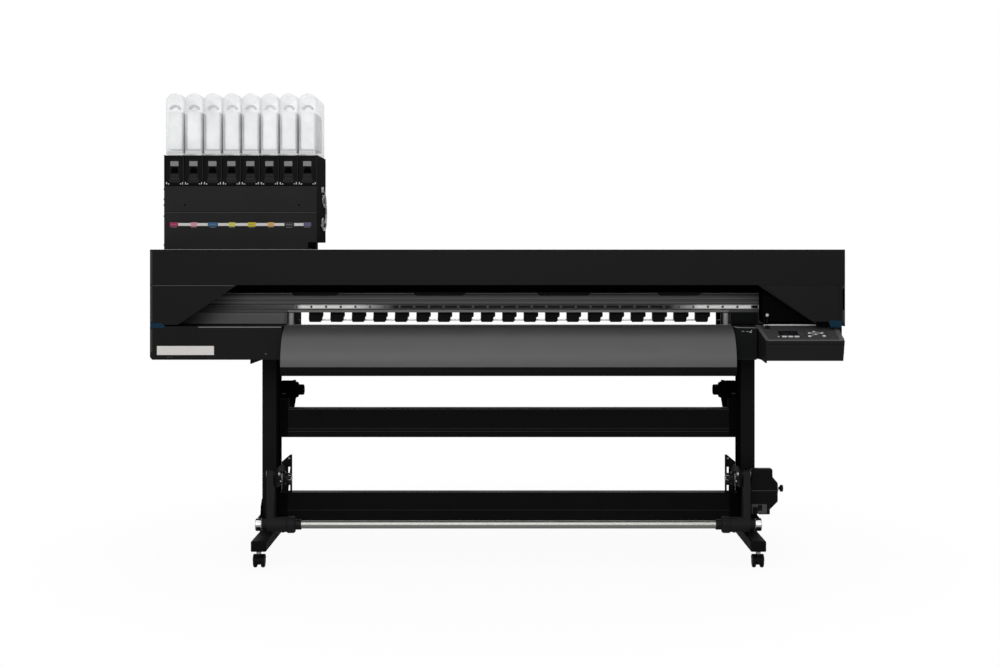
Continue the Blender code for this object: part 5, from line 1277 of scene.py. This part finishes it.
def dress_casters():
    for corner in CORNERS:
        node = corner + "_caster_wheels"
        lo, hi = low(node), high(node)
        axis = ((lo.y + hi.y) / 2, (lo.z + hi.z) / 2)
        caps = []
        for x, out in ((lo.x, -1), (hi.x, 1)):
            caps.append(turned([(x - out * 0.0005, 0), (x - out * 0.0005, 0.0165),
                                (x + out * 0.0006, 0.016), (x + out * 0.0006, 0.0085),
                                (x - out * 0.0002, 0.0075), (x - out * 0.0002, 0.0035),
                                (x + out * 0.001, 0.0028), (x + out * 0.001, 0)], axis, "X", 28))
        piece(corner + "_hub_caps", caps, "hub_light", corner + "_wheels", "black_plastic", smooth=40)
        grooves = [turned([(x, 0.0251), (x, 0.0254), (x + 0.0015, 0.0254), (x + 0.0015, 0.0251)], axis, "X",
                          32) for x in (lo.x + 0.004, lo.x + 0.009, hi.x - 0.0105, hi.x - 0.0055)]
        piece(corner + "_tread_lines", grooves, "hub", corner + "_wheels", "rubber", smooth=40)
        wheels = []
        width = 0.015
        for start in (lo.x, hi.x - width):
            shoulder = [(start + 0.0055 * (1 - math.cos(math.radians(a))),
                         0.0195 + 0.0055 * math.sin(math.radians(a))) for a in (0, 30, 60, 90)]
            far = [(2 * start + width - x, r) for x, r in reversed(shoulder)]
            wheels.append(turned([(start, 0)] + shoulder + far + [(start + width, 0)], axis, "X", 36))
        wheels.append(turned([(lo.x + 0.01, 0), (lo.x + 0.01, 0.0045), (hi.x - 0.01, 0.0045),
                              (hi.x - 0.01, 0)], axis, "X", 16))
        piece(corner + "_tyres", wheels, "rubber", corner + "_wheels", "rubber", (node,), smooth=50)
        fork = corner + "_caster_fork"
        top = high(fork).z
        stem = ((low(fork).x + high(fork).x) / 2, axis[0] - 0.014)
        collar = turned([(top - 0.016, 0), (top - 0.016, 0.0085), (top - 0.013, 0.01), (top - 0.007, 0.01),
                         (top - 0.0065, 0)], stem, "Z", 24)
        piece(corner + "_stem_collar", collar, "zinc", corner + "_fork", "bright_steel", smooth=40)


# Rear and sides

def louvre(x, z, face, rows):
    """A dark vent field with raised slats over it, on a surface that faces the rear."""
    slats = []
    step = (z[1] - z[0]) / rows
    for k in range(rows):
        foot = z[0] + k * step
        slats.append(prism([(face - 0.0002, foot + 0.0015), (face + 0.003, foot + 0.002),
                            (face + 0.003, foot + 0.0035), (face - 0.0002, foot + step * 0.85)], "X", x))
    field = block((x[0] - 0.004, x[1] + 0.004), (face - 0.001, face + 0.0003), (z[0] - 0.003, z[1] + 0.003))
    return field, slats


def rear_strip(x, z, face, proud):
    return block(x, (face - 0.002, face + proud), z)


def dress_rear():
    """Vents, a blank plate, ports, seams and screws on the back."""
    rear = high("rear_cover").y
    fields, slats = [], []
    for x in ((-1.23, -1.01), (1.01, 1.23)):
        field, rows = louvre(x, (1.06, 1.18), rear, 10)
        fields.append(field)
        slats += rows
    for x in ((-1.08, -0.94), (1.18, 1.33)):
        field, rows = louvre(x, (0.85, 0.93), rear, 7)
        fields.append(field)
        slats += rows
    trim("rear_vent_fields", fields, "dark", bevel=0.0002)
    trim("rear_vent_slats", slats, "body", bevel=0.0004)
    seams = [rear_strip((x - 0.0012, x + 0.0012), (1.026, 1.255), rear, 0.0004) for x in (-0.7, 0.0, 0.7)]
    trim("rear_cover_seams", seams, "dark")
    panels = [rear_strip((a + 0.006, b - 0.006), (1.032, 1.24), rear, 0.001)
              for a, b in ((-0.7, 0.0), (0.0, 0.7))]
    trim("rear_cover_panels", panels, "body", bevel=0.0008)
    heads = []
    for k in range(12):
        x = -1.32 + 0.24 * k
        heads.append(screw((x, rear + 0.0008, 1.046), "Y", 1, 0.0048, 0.0026))
        heads.append(screw((x, rear + 0.0008, 1.228), "Y", 1, 0.0048, 0.0026))
    for x in (-1.36, -1.12, -0.89, 0.975, 1.14, 1.365):
        for z in (0.84, 0.944):
            heads.append(screw((x, rear - 0.0002, z), "Y", 1, 0.0048, 0.0026))
    trim("rear_screws", heads, "dark_screw")
    trim("rear_blank_plate", rear_strip((-1.3, -1.18), (0.86, 0.92), rear, 0.0006), "label", bevel=0.0003)
    ports = [rear_strip((1.02, 1.11), (0.865, 0.925), rear, 0.002)]
    trim("rear_port_plate", ports, "light", bevel=0.0006)
    sockets = [rear_strip((1.028, 1.058), (0.874, 0.902), rear, 0.005),
               rear_strip((1.07, 1.084), (0.88, 0.894), rear, 0.0045),
               rear_strip((1.09, 1.102), (0.876, 0.896), rear, 0.0045),
               rear_strip((1.07, 1.1), (0.904, 0.916), rear, 0.003)]
    trim("rear_ports", sockets, "plastic", bevel=0.001)


def dress_ink_rear():
    rear = high("ink_cabinet").y
    middle = (INK_LOW.x + INK_HIGH.x) / 2
    trim("ink_rear_panel", rear_strip((INK_LOW.x + 0.012, INK_HIGH.x - 0.012), (1.32, 1.516), rear, 0.001),
         "ink_body", bevel=0.0008)
    field, slats = louvre((middle - 0.08, middle + 0.08), (1.37, 1.44), rear + 0.001, 6)
    trim("ink_rear_vent_field", field, "dark", bevel=0.0002)
    trim("ink_rear_vent_slats", slats, "ink_body", bevel=0.0004)
    heads = [screw((x, rear + 0.0008, z), "Y", 1, 0.0042, 0.0024)
             for x in (INK_LOW.x + 0.024, middle, INK_HIGH.x - 0.024) for z in (1.332, 1.504)]
    trim("ink_rear_screws", heads, "dark_screw")


def dress_sides():
    """Side panel seams, a pressed grip and a vent on each side of the body."""
    rows, seams, grips = [], [], []
    for side in (-1, 1):
        x = side * (BODY_X - 0.0004)
        outer = side * (BODY_X + 0.0012)
        span = ordered(x, outer)
        for k in range(7):
            y = 0.06 + 0.014 * k
            rows.append(block(span, (y, y + 0.0075), (1.03, 1.085)))
        seams.append(block(span, (BODY_FRONT + 0.02, BODY_REAR - 0.02), (0.96, 0.9616)))
        seams.append(block(span, (-0.1668, -0.1652), (0.975, 1.115)))
        grips.append(prism(rounded((-0.1, 0.01), (1.03, 1.062), 0.01), "X", span))
        grips.append(block((span[0] - 0.0004, span[1] + 0.0004), (-0.09, 0.0), (1.04, 1.044)))
    trim("side_vent_rows", rows, "dark", bevel=0.0004)
    trim("side_seams", seams, "dark")
    trim("side_grips", grips, "plastic", bevel=0.0005)


def dress_roll_holders():
    """Ribs on the roll flanges' hubs, and a clamp knob on each holder."""
    for label, side in SIDES:
        node = label + "_roll_flange"
        tip = STAND_X + side * (0.929 - 0.0385)
        root = STAND_X + side * (0.929 - 0.015)
        ribs = spokes(6, 0.2, ROLL_AXIS,
                      [(tip + side * 0.002, 0.0215), (root, 0.0225), (root + side * 0.004, 0.0325)], 0.0018)
        piece(node + "_ribs", ribs, "hub", node, "black_plastic", smooth=50)
        plate_out = STAND_X + side * 0.96
        knob = turned([(0.615, 0), (0.615, 0.006), (0.631, 0.007), (0.635, 0.014), (0.649, 0.014),
                       (0.652, 0.011), (0.652, 0)], (plate_out, 0.07), "Z", 18)
        piece(label + "_holder_knob", knob, "plastic", label + "_roll_holder", "black_plastic", smooth=40)


def dress_platen():
    """Holes and grooves across the print bed."""
    lo, hi = low("platen"), high("platen")
    grooves = [block((lo.x + 0.02, hi.x - 0.02), (y, y + 0.0012), (0.9488, 0.9493))
               for y in (-0.248, -0.222, -0.104)]
    trim("platen_grooves", grooves, "dark_screw", "grey_aluminium")
    rings = []
    for k in range(36):
        x = lo.x + 0.04 + k * 0.0495
        rings.append(turned([(0.9486, 0), (0.9486, 0.002), (0.9492, 0.002), (0.9492, 0)], (x, -0.21), "Z",
                            8))
    trim("platen_holes", rings, "dark", "grey_aluminium")


# Floor, light and camera

WORLD_LIGHT = 0.42
CAMERA_DISTANCE = 6.74      # in front of the origin, level with the top of the body
LENS = 57.6
FRAME_SHIFT = (-0.0085, -0.084)


def lit_backdrop():
    """White to the camera and in reflections, softer as a light."""
    world = bpy.data.worlds.new("studio")
    bpy.context.scene.world = world
    world.use_nodes = True
    nodes, links = world.node_tree.nodes, world.node_tree.links
    nodes.clear()
    path = nodes.new("ShaderNodeLightPath")
    seen = path.outputs["Is Camera Ray"]
    for kind in ("Is Glossy Ray", "Is Transmission Ray"):
        either = nodes.new("ShaderNodeMath")
        either.operation = "MAXIMUM"
        links.new(seen, either.inputs[0])
        links.new(path.outputs[kind], either.inputs[1])
        seen = either.outputs["Value"]
    white = nodes.new("ShaderNodeBackground")
    white.inputs["Color"].default_value = (1.0, 1.0, 1.0, 1.0)
    soft = nodes.new("ShaderNodeBackground")
    soft.inputs["Color"].default_value = (WORLD_LIGHT, WORLD_LIGHT, WORLD_LIGHT, 1.0)
    mix = nodes.new("ShaderNodeMixShader")
    out = nodes.new("ShaderNodeOutputWorld")
    links.new(seen, mix.inputs["Fac"])
    links.new(soft.outputs["Background"], mix.inputs[1])
    links.new(white.outputs["Background"], mix.inputs[2])
    links.new(mix.outputs["Shader"], out.inputs["Surface"])


def floor():
    """Pale ground: the camera sees it nearly white, and it keeps a faint shadow."""
    made, nodes, links, shader = new_material("studio_floor")
    shader.inputs["Base Color"].default_value = (0.9, 0.9, 0.9, 1.0)
    shader.inputs["Roughness"].default_value = 0.9
    shader.inputs["Specular IOR Level"].default_value = 0.0
    glow = nodes.new("ShaderNodeEmission")
    glow.inputs["Color"].default_value = (1.0, 1.0, 1.0, 1.0)
    place = nodes.new("ShaderNodeNewGeometry")
    reach = nodes.new("ShaderNodeVectorMath")
    reach.operation = "LENGTH"
    links.new(place.outputs["Position"], reach.inputs[0])
    fade = nodes.new("ShaderNodeMapRange")
    for name, value in (("From Min", 1.0), ("From Max", 2.2), ("To Min", 0.94), ("To Max", 1.0)):
        fade.inputs[name].default_value = value
    links.new(reach.outputs["Value"], fade.inputs["Value"])
    path = nodes.new("ShaderNodeLightPath")
    share = nodes.new("ShaderNodeMath")
    share.operation = "MULTIPLY"
    links.new(path.outputs["Is Camera Ray"], share.inputs[0])
    links.new(fade.outputs["Result"], share.inputs[1])
    mix = nodes.new("ShaderNodeMixShader")
    links.new(share.outputs["Value"], mix.inputs["Fac"])
    links.new(shader.outputs["BSDF"], mix.inputs[1])
    links.new(glow.outputs["Emission"], mix.inputs[2])
    links.new(mix.outputs["Shader"], nodes["Material Output"].inputs["Surface"])
    data = bpy.data.meshes.new("floor")
    size = 40.0
    data.from_pydata([(-size, -size, 0), (size, -size, 0), (size, size, 0), (-size, size, 0)], [],
                     [(0, 1, 2, 3)])
    data.materials.append(made)
    ground = bpy.data.objects.new("floor", data)
    bpy.context.scene.collection.objects.link(ground)


def lamp(name, place, target, size, power):
    data = bpy.data.lights.new(name, "AREA")
    data.shape = "RECTANGLE"
    data.size, data.size_y = size
    data.energy = power
    made = bpy.data.objects.new(name, data)
    made.location = place
    made.rotation_euler = (Vector(target) - Vector(place)).to_track_quat("-Z", "Y").to_euler()
    bpy.context.scene.collection.objects.link(made)


def camera():
    data = bpy.data.cameras.new("camera")
    data.lens = LENS
    data.sensor_width = 36.0
    data.shift_x, data.shift_y = FRAME_SHIFT
    made = bpy.data.objects.new("camera", data)
    made.location = (STAND_X, -CAMERA_DISTANCE, BODY_TOP)
    made.rotation_euler = (math.radians(90), 0, 0)
    bpy.context.scene.collection.objects.link(made)
    bpy.context.scene.camera = made


dress_frame()
dress_covers()
dress_print_area()
dress_apron()
dress_control_box()
dress_fascia()
dress_ink_cabinet()
dress_bays()
dress_stand()
dress_take_up()
dress_dancer()
dress_casters()
dress_rear()
dress_ink_rear()
dress_sides()
dress_roll_holders()
dress_platen()

bpy.context.scene.view_settings.view_transform = "Standard"
lit_backdrop()
floor()
lamp("front_softbox", (-0.5, -6.0, 3.0), (0, 0, 0.9), (5.0, 2.5), 150)
lamp("top_softbox", (0.3, -1.4, 4.8), (0, 0, 0.9), (5.0, 3.0), 45)
camera()
